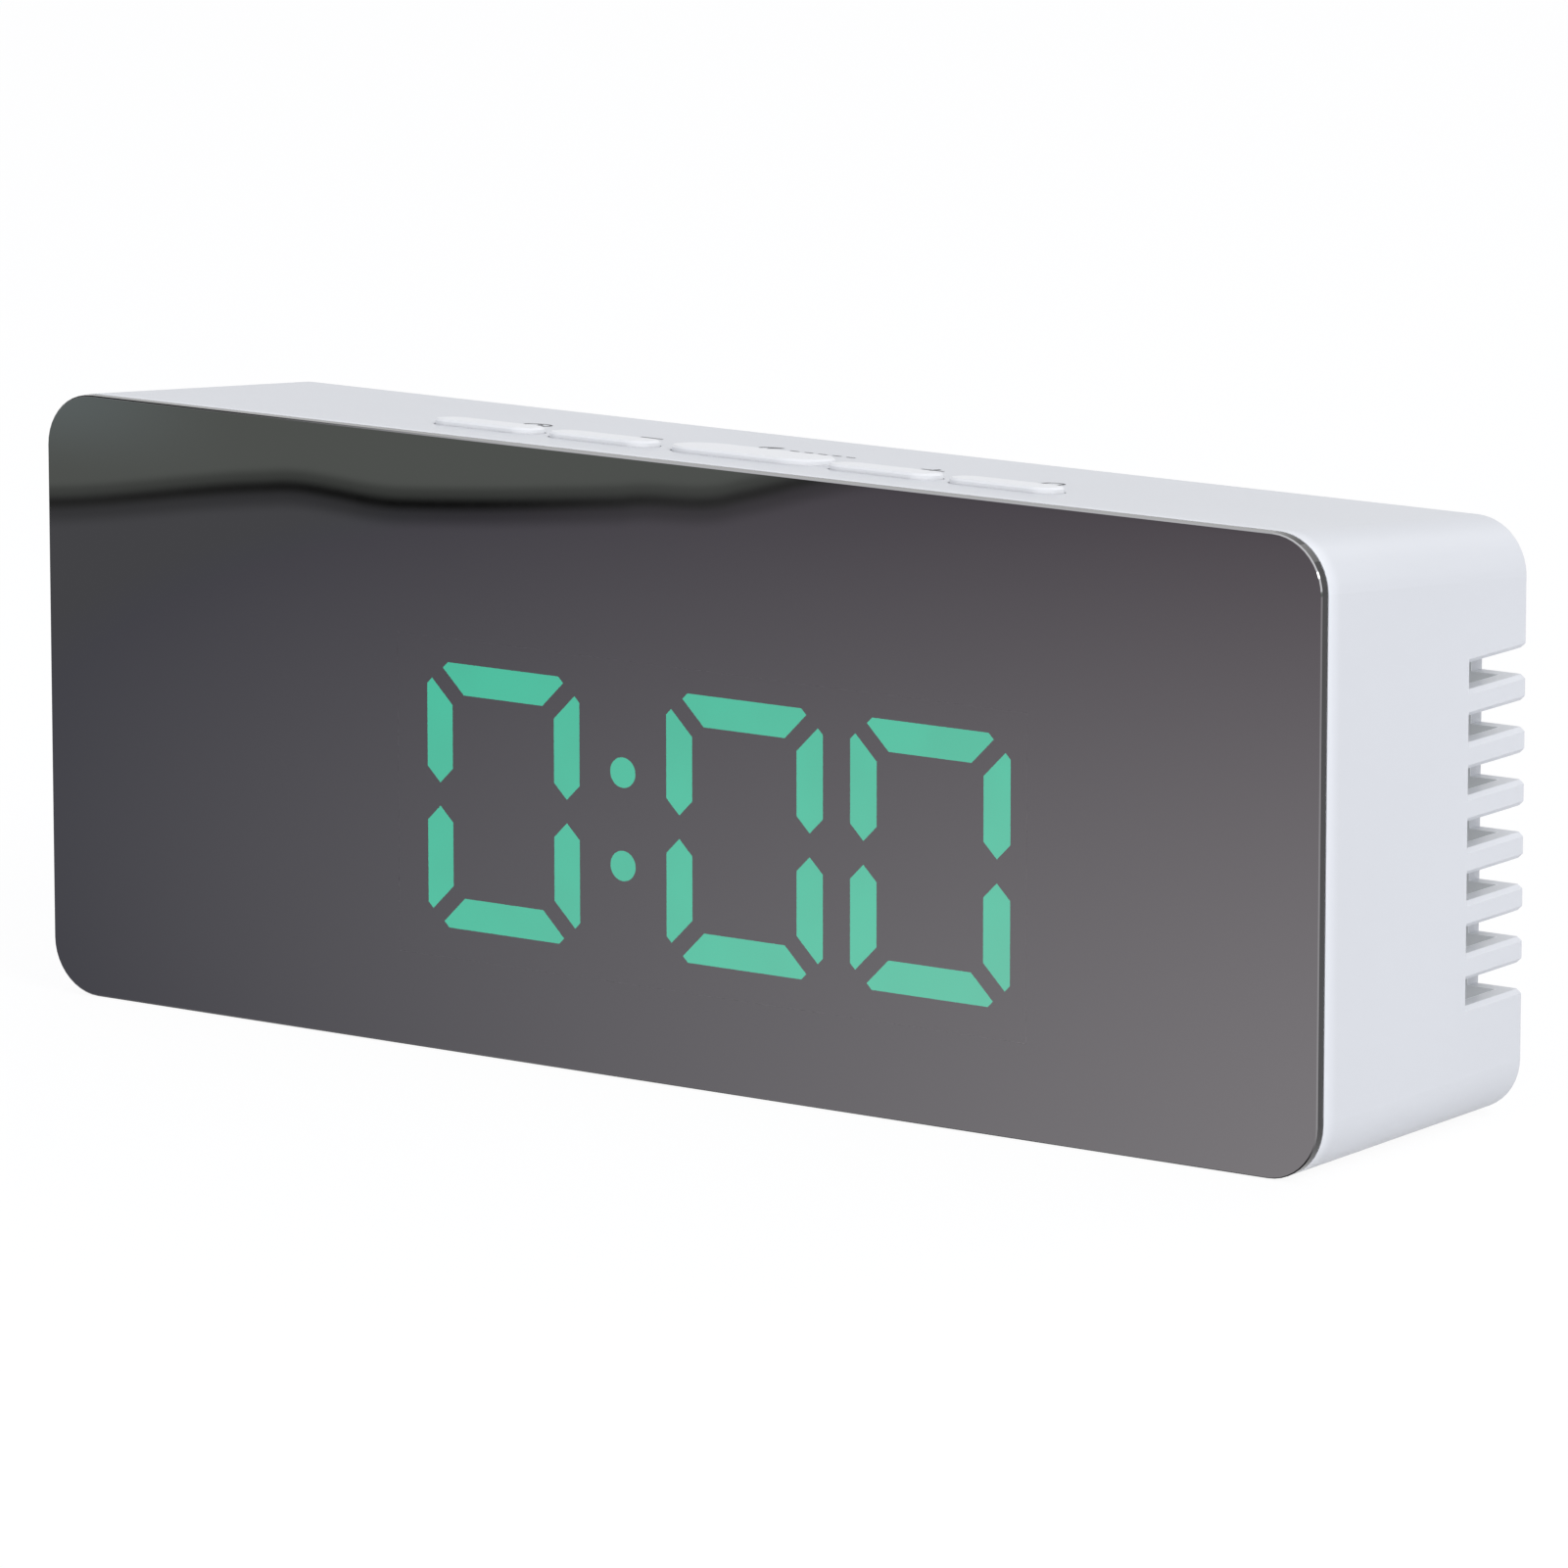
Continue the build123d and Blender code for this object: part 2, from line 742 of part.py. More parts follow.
for key_name, key_x, this_width, this_depth, this_corner in key_table:
    key_middle_y = key_front_y + this_depth / 2

    with BuildPart() as key_cap:
        with BuildSketch(Plane.XY.offset(flange_bottom_z)):
            with Locations((key_x, key_middle_y)):
                RectangleRounded(
                    this_width + 2 * key_flange,
                    this_depth + 2 * key_flange,
                    this_corner + key_flange,
                )
        extrude(amount=case_height - flange_bottom_z)
        split(bisect_by=slope_plane(wall + key_flange_gap), keep=Keep.BOTTOM)
        with BuildSketch(Plane.XY.offset(flange_bottom_z)):
            with Locations((key_x, key_middle_y)):
                RectangleRounded(this_width, this_depth, this_corner)
        extrude(amount=case_height + overrun - flange_bottom_z)
        split(bisect_by=slope_plane(-key_rise), keep=Keep.BOTTOM)
        chamfer(key_cap.faces().sort_by(Axis.Z)[-1].edges(), key_top_break)
        with BuildSketch(Plane.XY.offset(plunger_top_z)):
            with Locations((key_x, key_centre_y)):
                Rectangle(key_post_width, key_post_depth)
        extrude(amount=flange_bottom_z - plunger_top_z)

    save(key_cap, f"{key_name}_key")

    with BuildPart() as switch_body:
        with BuildSketch(Plane.XY.offset(switch_bottom_z)):
            with Locations((key_x, key_centre_y)):
                Rectangle(switch_width, switch_depth)
        extrude(amount=switch_height)
        with BuildSketch(Plane.XY.offset(plunger_bottom_z - key_travel - plunger_clearance)):
            with Locations((key_x, key_centre_y)):
                Rectangle(
                    plunger_width + 2 * plunger_clearance,
                    plunger_depth + 2 * plunger_clearance,
                )
        extrude(amount=plunger_seat + key_travel + plunger_clearance, mode=Mode.SUBTRACT)

    save(switch_body, f"{key_name}_switch")

    with BuildPart() as plunger:
        with BuildSketch(Plane.XY.offset(plunger_bottom_z)):
            with Locations((key_x, key_centre_y)):
                Rectangle(plunger_width, plunger_depth)
        extrude(amount=plunger_top_z - plunger_bottom_z)

    save(plunger, f"{key_name}_plunger")


# Electronic parts on the rear of the main board

buzzer_radius = 6.0
buzzer_height = 8.0
buzzer_hole_radius = 1.5
buzzer_rim = 0.8
buzzer_top_margin = 5.0       # below the board's upper edge
buzzer_offset = 2.2           # from the chip's middle, towards the bay
chip_length = 18.0
chip_socket_gap = 8.6         # from the chip's end to the power socket
chip_x = socket_x - socket_width / 2 - chip_socket_gap - chip_length / 2
buzzer_x = chip_x - buzzer_offset
buzzer_z = board_top_z - buzzer_top_margin - buzzer_radius

with BuildPart() as buzzer:
    with BuildSketch(depth_plane(board_back_y)):
        with Locations((buzzer_x, buzzer_z)):
            Circle(buzzer_radius)
    extrude(amount=-buzzer_height)
    chamfer(buzzer.faces().sort_by(Axis.Y)[-1].edges(), buzzer_rim / 2)
    with BuildSketch(depth_plane(board_back_y + buzzer_height)):
        with Locations((buzzer_x, buzzer_z)):
            Circle(buzzer_hole_radius)
    extrude(amount=buzzer_height / 2, mode=Mode.SUBTRACT)

save(buzzer, "buzzer")

chip_width = 7.5
chip_height = 2.3
chip_standoff = 0.2
chip_leg_pitch = 1.27
chip_leg_width = 0.45
chip_leg_reach = 1.3
chip_leg_height = 1.0
chip_legs = 13
chip_bottom_margin = 6.2
chip_z = board_bottom_z + chip_bottom_margin + chip_width / 2

with BuildPart() as processor:
    with BuildSketch(depth_plane(board_back_y + chip_standoff)):
        with Locations((chip_x, chip_z)):
            Rectangle(chip_length, chip_width)
    extrude(amount=-chip_height)
    with BuildSketch(depth_plane(board_back_y)):
        with Locations((chip_x, chip_z)):
            with GridLocations(chip_leg_pitch, chip_width + chip_leg_reach, chip_legs, 2):
                Rectangle(chip_leg_width, chip_leg_reach)
    extrude(amount=-chip_leg_height)

save(processor, "processor")

capacitor_radius = 2.5
capacitor_height = 6.0
capacitor_end_inset = 18.0
capacitor_rise = 13.0         # above the chip's middle
capacitor_x = case_width / 2 - capacitor_end_inset
capacitor_z = chip_z + capacitor_rise

with BuildPart() as supply_capacitor:
    with BuildSketch(depth_plane(board_back_y)):
        with Locations((capacitor_x, capacitor_z)):
            Circle(capacitor_radius)
    extrude(amount=-capacitor_height)
    chamfer(supply_capacitor.faces().sort_by(Axis.Y)[-1].edges(), capacitor_radius / 6)

save(supply_capacitor, "supply_capacitor")

crystal_radius = 1.0
crystal_length = 6.0
crystal_gap = 6.0             # beyond the chip's end
driver_rise = 9.0             # crystal and driver row above the chip's middle
crystal_x = chip_x + chip_length / 2 + crystal_gap
crystal_z = chip_z + driver_rise

with BuildPart() as clock_crystal:
    with BuildSketch(Plane.YZ.offset(crystal_x - crystal_length / 2)):
        with Locations((board_back_y + crystal_radius, crystal_z)):
            Circle(crystal_radius)
    extrude(amount=crystal_length)

save(clock_crystal, "clock_crystal")

transistor_length = 2.9
transistor_width = 1.6
transistor_height = 1.1
transistor_pitch = 4.5
transistor_count = 5

with BuildPart() as digit_drivers:
    with BuildSketch(depth_plane(board_back_y)):
        with Locations((chip_x, chip_z + driver_rise)):
            with GridLocations(transistor_pitch, transistor_pitch, transistor_count, 1):
                Rectangle(transistor_length, transistor_width)
    extrude(amount=-transistor_height)

save(digit_drivers, "digit_drivers")

resistor_length = 1.6
resistor_width = 0.8
resistor_height = 0.5
resistor_spacing = 2.0
resistor_count = 8
resistor_end_inset = 26.0
resistor_top_margin = 2.5

with BuildPart() as segment_resistors:
    with BuildSketch(depth_plane(board_back_y)):
        with Locations((case_width / 2 - resistor_end_inset, board_top_z - resistor_top_margin)):
            with GridLocations(resistor_spacing, resistor_spacing, resistor_count, 1):
                Rectangle(resistor_width, resistor_length)
    extrude(amount=-resistor_height)

save(segment_resistors, "segment_resistors")

# Power socket, raised on a stand from the board and looking out of the rear wall
socket_mouth_y = rear_y - socket_recess
socket_back_y = socket_mouth_y - socket_length
shell_bore_width = socket_width - 2 * socket_shell
shell_bore_height = socket_height - 2 * socket_shell
shell_bore_radius = socket_height / 2 - socket_shell * 1.5

with BuildPart() as power_socket:
    with BuildSketch(depth_plane(socket_back_y)):
        with Locations((socket_x, socket_z)):
            RectangleRounded(socket_width, socket_height, socket_height / 2 - socket_shell / 2)
            RectangleRounded(shell_bore_width, shell_bore_height, shell_bore_radius,
                             mode=Mode.SUBTRACT)
    extrude(amount=-socket_length)

save(power_socket, "power_socket")

with BuildPart() as socket_tongue:
    with BuildSketch(depth_plane(board_back_y)):
        with Locations((socket_x, socket_z)):
            Rectangle(
                socket_width + 2 * socket_stand_margin,
                socket_height + 2 * socket_stand_margin,
            )
    extrude(amount=board_back_y - socket_back_y)
    with BuildSketch(depth_plane(socket_back_y)):
        with Locations((socket_x, socket_z)):
            RectangleRounded(shell_bore_width, shell_bore_height, shell_bore_radius)
    extrude(amount=-socket_plug_depth)
    with BuildSketch(depth_plane(socket_back_y + socket_plug_depth)):
        with Locations((socket_x, socket_z)):
            Rectangle(tongue_width, tongue_height)
    extrude(amount=-(socket_length - socket_plug_depth - tongue_setback))

save(socket_tongue, "socket_tongue")


# Cells, laid along the bay and turned end for end in turn, and their contacts

cell_rows = [
    ("upper_cell", rear_middle_z + cell_pitch, 1),
    ("middle_cell", rear_middle_z, -1),
    ("lower_cell", rear_middle_z - cell_pitch, 1),
]

for cell_name, cell_z, tip_side in cell_rows:
    tip_wall_x = bay_centre_x - tip_side * bay_length / 2
    shoulder_x = tip_wall_x + tip_side * (contact_thickness + cell_tip_length)
    with BuildPart() as cell:
        with BuildSketch(Plane.YZ.offset(shoulder_x)):
            with Locations((cell_axis_y, cell_z)):
                Circle(cell_radius)
        extrude(amount=tip_side * cell_length)
        with BuildSketch(Plane.YZ.offset(shoulder_x)):
            with Locations((cell_axis_y, cell_z)):
                Circle(cell_tip_radius)
        extrude(amount=-tip_side * cell_tip_length)
    save(cell, cell_name)


def contact_plate(wall_x, inward, low_z, high_z):
    """A pressed plate that stands against one end wall of the bay."""
    with BuildSketch(Plane.YZ.offset(wall_x)) as plate_face:
        with Locations((cell_axis_y, (low_z + high_z) / 2)):
            Rectangle(contact_width, high_z - low_z + contact_width)
    extrude(plate_face.sketch, amount=inward * contact_thickness)


def contact_leaf(wall_x, inward, cell_z):
    """A bowed leaf that presses on the flat end of a cell."""
    face_x = wall_x + inward * contact_thickness
    tip_x = wall_x + inward * (spring_room - leaf_clearance)
    low_y = cell_axis_y - leaf_height / 2
    high_y = cell_axis_y + leaf_height / 2
    with BuildSketch(Plane.XY.offset(cell_z - leaf_width / 2)) as leaf_edge:
        with BuildLine():
            outer_bow = ThreePointArc((face_x, low_y), (tip_x, cell_axis_y), (face_x, high_y))
            Line(outer_bow @ 1, (face_x, high_y - contact_thickness))
            ThreePointArc(
                (face_x, high_y - contact_thickness),
                (tip_x - inward * contact_thickness, cell_axis_y),
                (face_x, low_y + contact_thickness),
            )
            Line((face_x, low_y + contact_thickness), outer_bow @ 0)
        make_face()
    extrude(leaf_edge.sketch, amount=leaf_width)


def contact_tail(tail_place):
    """A strip from the plate through the bay's floor into the main board."""
    plate_front_y = cell_axis_y - contact_width / 2
    with BuildSketch(depth_plane(plate_front_y)) as tail_end:
        with Locations(tail_place):
            Rectangle(contact_thickness, tail_width)
    extrude(tail_end.sketch, amount=plate_front_y - board_front_y)


with BuildPart() as positive_contact:
    contact_plate(bay_left_x, 1, rear_middle_z + cell_pitch, rear_middle_z + cell_pitch)
    contact_tail(tail_places[0])

save(positive_contact, "positive_contact")

with BuildPart() as left_link_contact:
    contact_plate(bay_left_x, 1, rear_middle_z - cell_pitch, rear_middle_z)
    contact_leaf(bay_left_x, 1, rear_middle_z)

save(left_link_contact, "left_link_contact")

with BuildPart() as right_link_contact:
    contact_plate(bay_right_x, -1, rear_middle_z, rear_middle_z + cell_pitch)
    contact_leaf(bay_right_x, -1, rear_middle_z + cell_pitch)

save(right_link_contact, "right_link_contact")

with BuildPart() as negative_contact:
    contact_plate(bay_right_x, -1, rear_middle_z - cell_pitch, rear_middle_z - cell_pitch)
    contact_leaf(bay_right_x, -1, rear_middle_z - cell_pitch)
    contact_tail(tail_places[1])

save(negative_contact, "negative_contact")


# Battery door: a plate with two tabs at the bottom, a sprung latch and a ribbed grip at the top

door_length = bay_length + 2 * door_ledge - 2 * door_gap
door_height = bay_height + 2 * door_ledge - 2 * door_gap
door_bottom_z = bay_bottom_z - door_ledge + door_gap
door_top_z = door_bottom_z + door_height
tab_outer_y = inner_rear_y - door_seat_gap
tab_root_height = 1.6
tab_bottom_z = door_bottom_z - door_gap - tab_reach
latch_bottom_z = door_top_z - latch_length

with BuildPart() as battery_door:
    with BuildSketch(depth_plane(door_outer_y)):
        with Locations((bay_centre_x, rear_middle_z)):
            Rectangle(door_length, door_height)
    extrude(amount=door_thickness)
    tab_xs = [bay_centre_x + side * tab_spacing / 2 for side in (-1, 1)]
    with BuildSketch(depth_plane(door_inner_y)):
        with Locations(*[(x, door_bottom_z) for x in tab_xs]):
            Rectangle(tab_width, tab_root_height, align=(Align.CENTER, Align.MIN))
    extrude(amount=door_inner_y - tab_outer_y + tab_thickness)
    with BuildSketch(depth_plane(tab_outer_y)):
        with Locations(*[(x, tab_bottom_z) for x in tab_xs]):
            Rectangle(tab_width, door_bottom_z - tab_bottom_z, align=(Align.CENTER, Align.MIN))
    extrude(amount=tab_thickness)

    # Slits that free the latch tongue, and its nose behind the plate
    with BuildSketch(depth_plane(door_outer_y)):
        with Locations(*[
            (bay_centre_x + side * (latch_width + latch_slit) / 2, latch_bottom_z)
            for side in (-1, 1)
        ]):
            Rectangle(latch_slit, latch_length, align=(Align.CENTER, Align.MIN))
    extrude(amount=door_thickness, mode=Mode.SUBTRACT)
    with BuildSketch(depth_plane(door_inner_y)):
        with Locations((bay_centre_x, bay_top_z - door_gap)):
            Rectangle(latch_width, latch_nose, align=(Align.CENTER, Align.MAX))
    extrude(amount=latch_nose)

    # Grip ridges across the tongue
    with BuildSketch(depth_plane(door_outer_y - grip_ridge)):
        with Locations((bay_centre_x, latch_bottom_z + latch_length / 2)):
            with GridLocations(latch_width, grip_pitch, 1, 4):
                Rectangle(latch_width - 2 * latch_slit, grip_pitch / 2)
    extrude(amount=grip_ridge, mode=Mode.SUBTRACT)

save(battery_door, "battery_door")
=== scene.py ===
import math

import bmesh
import bpy
from mathutils import Matrix, Vector


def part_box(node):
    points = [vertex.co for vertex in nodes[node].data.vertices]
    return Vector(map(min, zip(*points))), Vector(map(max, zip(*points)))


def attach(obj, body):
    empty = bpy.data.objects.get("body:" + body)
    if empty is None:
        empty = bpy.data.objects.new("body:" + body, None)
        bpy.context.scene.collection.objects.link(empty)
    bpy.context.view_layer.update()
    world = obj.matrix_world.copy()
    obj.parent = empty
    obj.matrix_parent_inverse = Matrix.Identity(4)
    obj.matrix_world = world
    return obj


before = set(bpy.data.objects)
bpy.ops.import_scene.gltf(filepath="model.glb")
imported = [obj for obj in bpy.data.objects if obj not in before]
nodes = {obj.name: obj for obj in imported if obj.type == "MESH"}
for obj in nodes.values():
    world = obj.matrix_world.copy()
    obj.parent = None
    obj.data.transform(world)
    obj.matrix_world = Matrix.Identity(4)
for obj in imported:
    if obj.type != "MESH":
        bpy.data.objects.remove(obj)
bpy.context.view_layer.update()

mm = 0.001
scene = bpy.context.scene
scene.view_settings.view_transform = "Standard"
print("frame loaded:", len(nodes), "nodes")


# Camera: where the photograph was taken from

cameraView = {
    "place": (0.5560, -0.7921, 0.2165),
    "turn": 34.986,        # degrees to the left of straight on
    "tilt": 11.202,        # degrees downwards
    "roll": -0.02,
    "lens": 248.39,
    "sensor": 36.0,
}


def makeCamera(view):
    data = bpy.data.cameras.new("photoCamera")
    data.lens = view["lens"]
    data.sensor_width = view["sensor"]
    data.clip_end = 20.0
    camera = bpy.data.objects.new("photoCamera", data)
    scene.collection.objects.link(camera)
    turned = Matrix.Rotation(math.radians(view["turn"]), 4, "Z")
    tilted = Matrix.Rotation(math.radians(90 - view["tilt"]), 4, "X")
    rolled = Matrix.Rotation(math.radians(view["roll"]), 4, "Z")
    camera.matrix_world = Matrix.Translation(view["place"]) @ turned @ tilted @ rolled
    scene.camera = camera


makeCamera(cameraView)
print("camera set")


# Node helpers

def newMaterial(name):
    material = bpy.data.materials.new(name)
    material.use_nodes = True
    tree = material.node_tree
    return material, tree, tree.nodes["Principled BSDF"]


def addNode(tree, kind, **settings):
    node = tree.nodes.new(kind)
    for key, value in settings.items():
        if key in node.inputs:
            node.inputs[key].default_value = value
        else:
            setattr(node, key, value)
    return node


def objectNoise(tree, scale, detail=2.0, stretch=None):
    coords = addNode(tree, "ShaderNodeTexCoord")
    noise = addNode(tree, "ShaderNodeTexNoise", Scale=scale, Detail=detail)
    if stretch is None:
        tree.links.new(coords.outputs["Object"], noise.inputs["Vector"])
    else:
        mapping = addNode(tree, "ShaderNodeMapping", Scale=stretch)
        tree.links.new(coords.outputs["Object"], mapping.inputs["Vector"])
        tree.links.new(mapping.outputs["Vector"], noise.inputs["Vector"])
    return noise


def objectAxes(tree):
    coords = addNode(tree, "ShaderNodeTexCoord")
    split = addNode(tree, "ShaderNodeSeparateXYZ")
    tree.links.new(coords.outputs["Object"], split.inputs["Vector"])
    return split.outputs


def rampBetween(tree, source, stops):
    ramp = addNode(tree, "ShaderNodeValToRGB")
    elements = ramp.color_ramp.elements
    while len(elements) < len(stops):
        elements.new(0.5)
    for element, (position, colour) in zip(elements, stops):
        element.position = position
        element.color = (*colour, 1.0)
    tree.links.new(source, ramp.inputs["Fac"])
    return ramp


def mapTo(tree, source, low, high):
    spread = addNode(tree, "ShaderNodeMapRange")
    spread.inputs["To Min"].default_value = low
    spread.inputs["To Max"].default_value = high
    tree.links.new(source, spread.inputs["Value"])
    return spread.outputs["Result"]


def addBump(tree, shader, height, strength, distance):
    bump = addNode(tree, "ShaderNodeBump", Strength=strength, Distance=distance)
    tree.links.new(height, bump.inputs["Height"])
    tree.links.new(bump.outputs["Normal"], shader.inputs["Normal"])


def mathNode(tree, operation, first, second=None):
    node = addNode(tree, "ShaderNodeMath", operation=operation)
    for socket, value in zip(node.inputs, (first, second)):
        if value is None:
            continue
        if isinstance(value, (int, float)):
            socket.default_value = value
        else:
            tree.links.new(value, socket)
    return node.outputs[0]


def mixColours(tree, share, first, second):
    node = addNode(tree, "ShaderNodeMix", data_type="RGBA")
    tree.links.new(share, node.inputs["Factor"])
    for socket, value in (("A", first), ("B", second)):
        if isinstance(value, tuple):
            node.inputs[socket].default_value = (*value, 1.0)
        else:
            tree.links.new(value, node.inputs[socket])
    return node.outputs["Result"]


def smoothStep(tree, value, start, end):
    node = addNode(tree, "ShaderNodeMapRange", interpolation_type="SMOOTHSTEP")
    tree.links.new(value, node.inputs["Value"])
    node.inputs["From Min"].default_value = start
    node.inputs["From Max"].default_value = end
    return node.outputs["Result"]


def shade(colour, factor):
    return tuple(min(1.0, channel * factor) for channel in colour)


# Materials

# Satin injection-moulded plastic with a fine spark texture and faint clouding
def mouldedPlastic(name, look):
    material, tree, shader = newMaterial(name)
    clouds = objectNoise(tree, look["cloudScale"])
    tint = rampBetween(tree, clouds.outputs["Fac"], [
        (0.3, shade(look["colour"], 1 - look["clouding"])),
        (0.7, shade(look["colour"], 1 + look["clouding"])),
    ])
    tree.links.new(tint.outputs["Color"], shader.inputs["Base Color"])
    grain = objectNoise(tree, look["grainScale"], 3.0)
    rough = mapTo(tree, grain.outputs["Fac"], look["roughness"] - 0.06, look["roughness"] + 0.06)
    tree.links.new(rough, shader.inputs["Roughness"])
    addBump(tree, shader, grain.outputs["Fac"], look["grainStrength"], 0.00002)
    shader.inputs["Specular IOR Level"].default_value = look["gloss"]
    return material


whiteLook = {
    "colour": (0.70, 0.712, 0.735),
    "clouding": 0.012,
    "cloudScale": 30.0,
    "grainScale": 5200.0,
    "grainStrength": 0.12,
    "roughness": 0.38,
    "gloss": 0.35,
}
keyLook = {**whiteLook, "colour": (0.84, 0.845, 0.855), "roughness": 0.32}
blackLook = {
    "colour": (0.012, 0.012, 0.013),
    "clouding": 0.2,
    "cloudScale": 60.0,
    "grainScale": 4000.0,
    "grainStrength": 0.15,
    "roughness": 0.55,
    "gloss": 0.3,
}
housingLook = {
    "paintedRimHighlight": 0.16,        # share of painted highlight added at the front rim
    "rimDepth": 0.0022,
    "paintedInsideGlow": 0.19,     # painted glow on the inside, standing in for light that comes through the wall
    "wall": 0.0018,
    "corner": 0.0051,
    "fall": 0.0964,          # of the top, for each metre towards the rear
}


# Painted highlight: lighter along the front rim; and a painted glow on the inside faces, standing in for
# light that comes through the wall
def housingPlastic(plain, look):
    material = mouldedPlastic("whiteHousingPlastic", plain)
    tree = material.node_tree
    shader = tree.nodes["Principled BSDF"]
    low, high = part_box("housing")
    place = objectAxes(tree)
    colour = shader.inputs["Base Color"].links[0].from_socket
    # Painted highlight: the base colour gets lighter towards the front rim
    rim = smoothStep(tree, place["Y"], low[1] + look["rimDepth"], low[1])
    lighter = shade(plain["colour"], 1 + look["paintedRimHighlight"])
    tree.links.new(mixColours(tree, rim, colour, lighter), shader.inputs["Base Color"])

    # Measured from the outer surface, whose top falls towards the rear
    deep = look["wall"] * 0.95
    fallen = mathNode(tree, "MULTIPLY", mathNode(tree, "SUBTRACT", place["Y"], low[1]), look["fall"])
    upShare = mathNode(tree, "DIVIDE", mathNode(tree, "SUBTRACT", place["Z"], low[2]),
                       mathNode(tree, "SUBTRACT", high[2] - low[2], fallen))
    up = mathNode(tree, "MULTIPLY", mathNode(tree, "SUBTRACT", upShare, 0.5), high[2] - low[2])
    across = mathNode(tree, "SUBTRACT", place["X"], (low[0] + high[0]) / 2)
    squares = []
    for axis, distance in ((0, across), (2, up)):
        straight = (high[axis] - low[axis]) / 2 - look["corner"]
        past = mathNode(tree, "SUBTRACT", mathNode(tree, "ABSOLUTE", distance), straight)
        past = mathNode(tree, "MAXIMUM", past, 0.0)
        squares.append(mathNode(tree, "MULTIPLY", past, past))
    fromStraight = mathNode(tree, "ADD", *squares)
    inside = mathNode(tree, "MULTIPLY",
                      mathNode(tree, "LESS_THAN", fromStraight, (look["corner"] - deep) ** 2),
                      mathNode(tree, "LESS_THAN", place["Y"], high[1] - deep))
    # Painted glow: the inside faces give off light of the plastic's colour, which lifts their shade
    shader.inputs["Emission Color"].default_value = (*plain["colour"], 1.0)
    glow = mathNode(tree, "MULTIPLY", inside, look["paintedInsideGlow"])
    tree.links.new(glow, shader.inputs["Emission Strength"])
    return material


creamLook = {**blackLook, "colour": (0.62, 0.58, 0.48), "clouding": 0.03}
reflectorLook = {**blackLook, "colour": (0.78, 0.78, 0.77), "clouding": 0.02}


halfMirror = {
    "colour": (0.57, 0.555, 0.585),
    "cover": 0.62,           # share of light that the coating turns back
    "roughness": 0.015,
    "hazeScale": 900.0,
    "haze": 0.01,
    "windowMargin": 2.5,     # millimetres round the digits, where light gets through
    "bevel": 0.12,
    "paintedBevelHighlight": (0.50, 0.50, 0.52),
    "paintedHighlightFacing": (0.75, 0.0, 0.66),
    "paintedHighlightFrom": -0.05,      # the painted highlight on the bevel lies to the right of here, in metres
    "edgeColour": (0.012, 0.012, 0.013),
}


# Half-silvered on its face and clear behind, with a window that lets the digits through,
# a painted highlight on the bevel where it faces one fixed direction, and dark edges
def mirrorMaterial(look):
    material, tree, shader = newMaterial("halfMirrorCoating")
    low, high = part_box("mirror_panel")
    thickness = high[1] - low[1]
    place = objectAxes(tree)
    depth = mathNode(tree, "DIVIDE", mathNode(tree, "SUBTRACT", place["Y"], low[1]), thickness)

    digitsLow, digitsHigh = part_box("lit_segments")
    inside = None
    for axis, name in ((0, "X"), (2, "Z")):
        middle = (digitsLow[axis] + digitsHigh[axis]) / 2
        reach = (digitsHigh[axis] - digitsLow[axis]) / 2 + look["windowMargin"] * mm
        away = mathNode(tree, "ABSOLUTE", mathNode(tree, "SUBTRACT", place[name], middle))
        near = mathNode(tree, "LESS_THAN", away, reach)
        inside = near if inside is None else mathNode(tree, "MULTIPLY", inside, near)
    covered = shade(look["colour"], look["cover"])
    faceColour = mixColours(tree, inside, covered, look["colour"])
    faceAlpha = mixColours(tree, inside, (1.0, 1.0, 1.0), (look["cover"],) * 3)

    # Painted highlight on the bevel: lighter where its normal faces a fixed direction and to the right
    # of a fixed X
    normal = addNode(tree, "ShaderNodeNewGeometry").outputs["Normal"]
    facing = addNode(tree, "ShaderNodeVectorMath", operation="DOT_PRODUCT")
    facing.inputs[1].default_value = look["paintedHighlightFacing"]
    tree.links.new(normal, facing.inputs[0])
    towards = smoothStep(tree, facing.outputs["Value"], 0.1, 0.6)
    along = smoothStep(tree, place["X"], look["paintedHighlightFrom"], look["paintedHighlightFrom"] + 0.04)
    shine = mathNode(tree, "MULTIPLY", towards, along)
    paintedBevelHighlight = mixColours(tree, shine, look["edgeColour"], look["paintedBevelHighlight"])

    faceEnd = 0.01 * mm / thickness
    pastFace = mathNode(tree, "GREATER_THAN", depth, faceEnd)
    pastBevel = mathNode(tree, "GREATER_THAN", depth, look["bevel"] * mm / thickness)
    atBack = mathNode(tree, "GREATER_THAN", depth, 1 - faceEnd)
    colour = mixColours(tree, pastFace, faceColour, paintedBevelHighlight)
    colour = mixColours(tree, pastBevel, colour, look["edgeColour"])
    tree.links.new(colour, shader.inputs["Base Color"])
    alpha = mixColours(tree, pastFace, faceAlpha, (1.0, 1.0, 1.0))
    tree.links.new(mixColours(tree, atBack, alpha, (0.0, 0.0, 0.0)), shader.inputs["Alpha"])
    tree.links.new(mathNode(tree, "SUBTRACT", 1.0, pastBevel), shader.inputs["Metallic"])

    haze = objectNoise(tree, look["hazeScale"], 4.0)
    smooth = look["roughness"]
    tree.links.new(mapTo(tree, haze.outputs["Fac"], smooth, smooth + look["haze"]),
                   shader.inputs["Roughness"])
    return material


litLook = {
    "colour": (0.0, 1.0, 0.60),
    "strength": 1.14,
    "edge": 0.94,
}


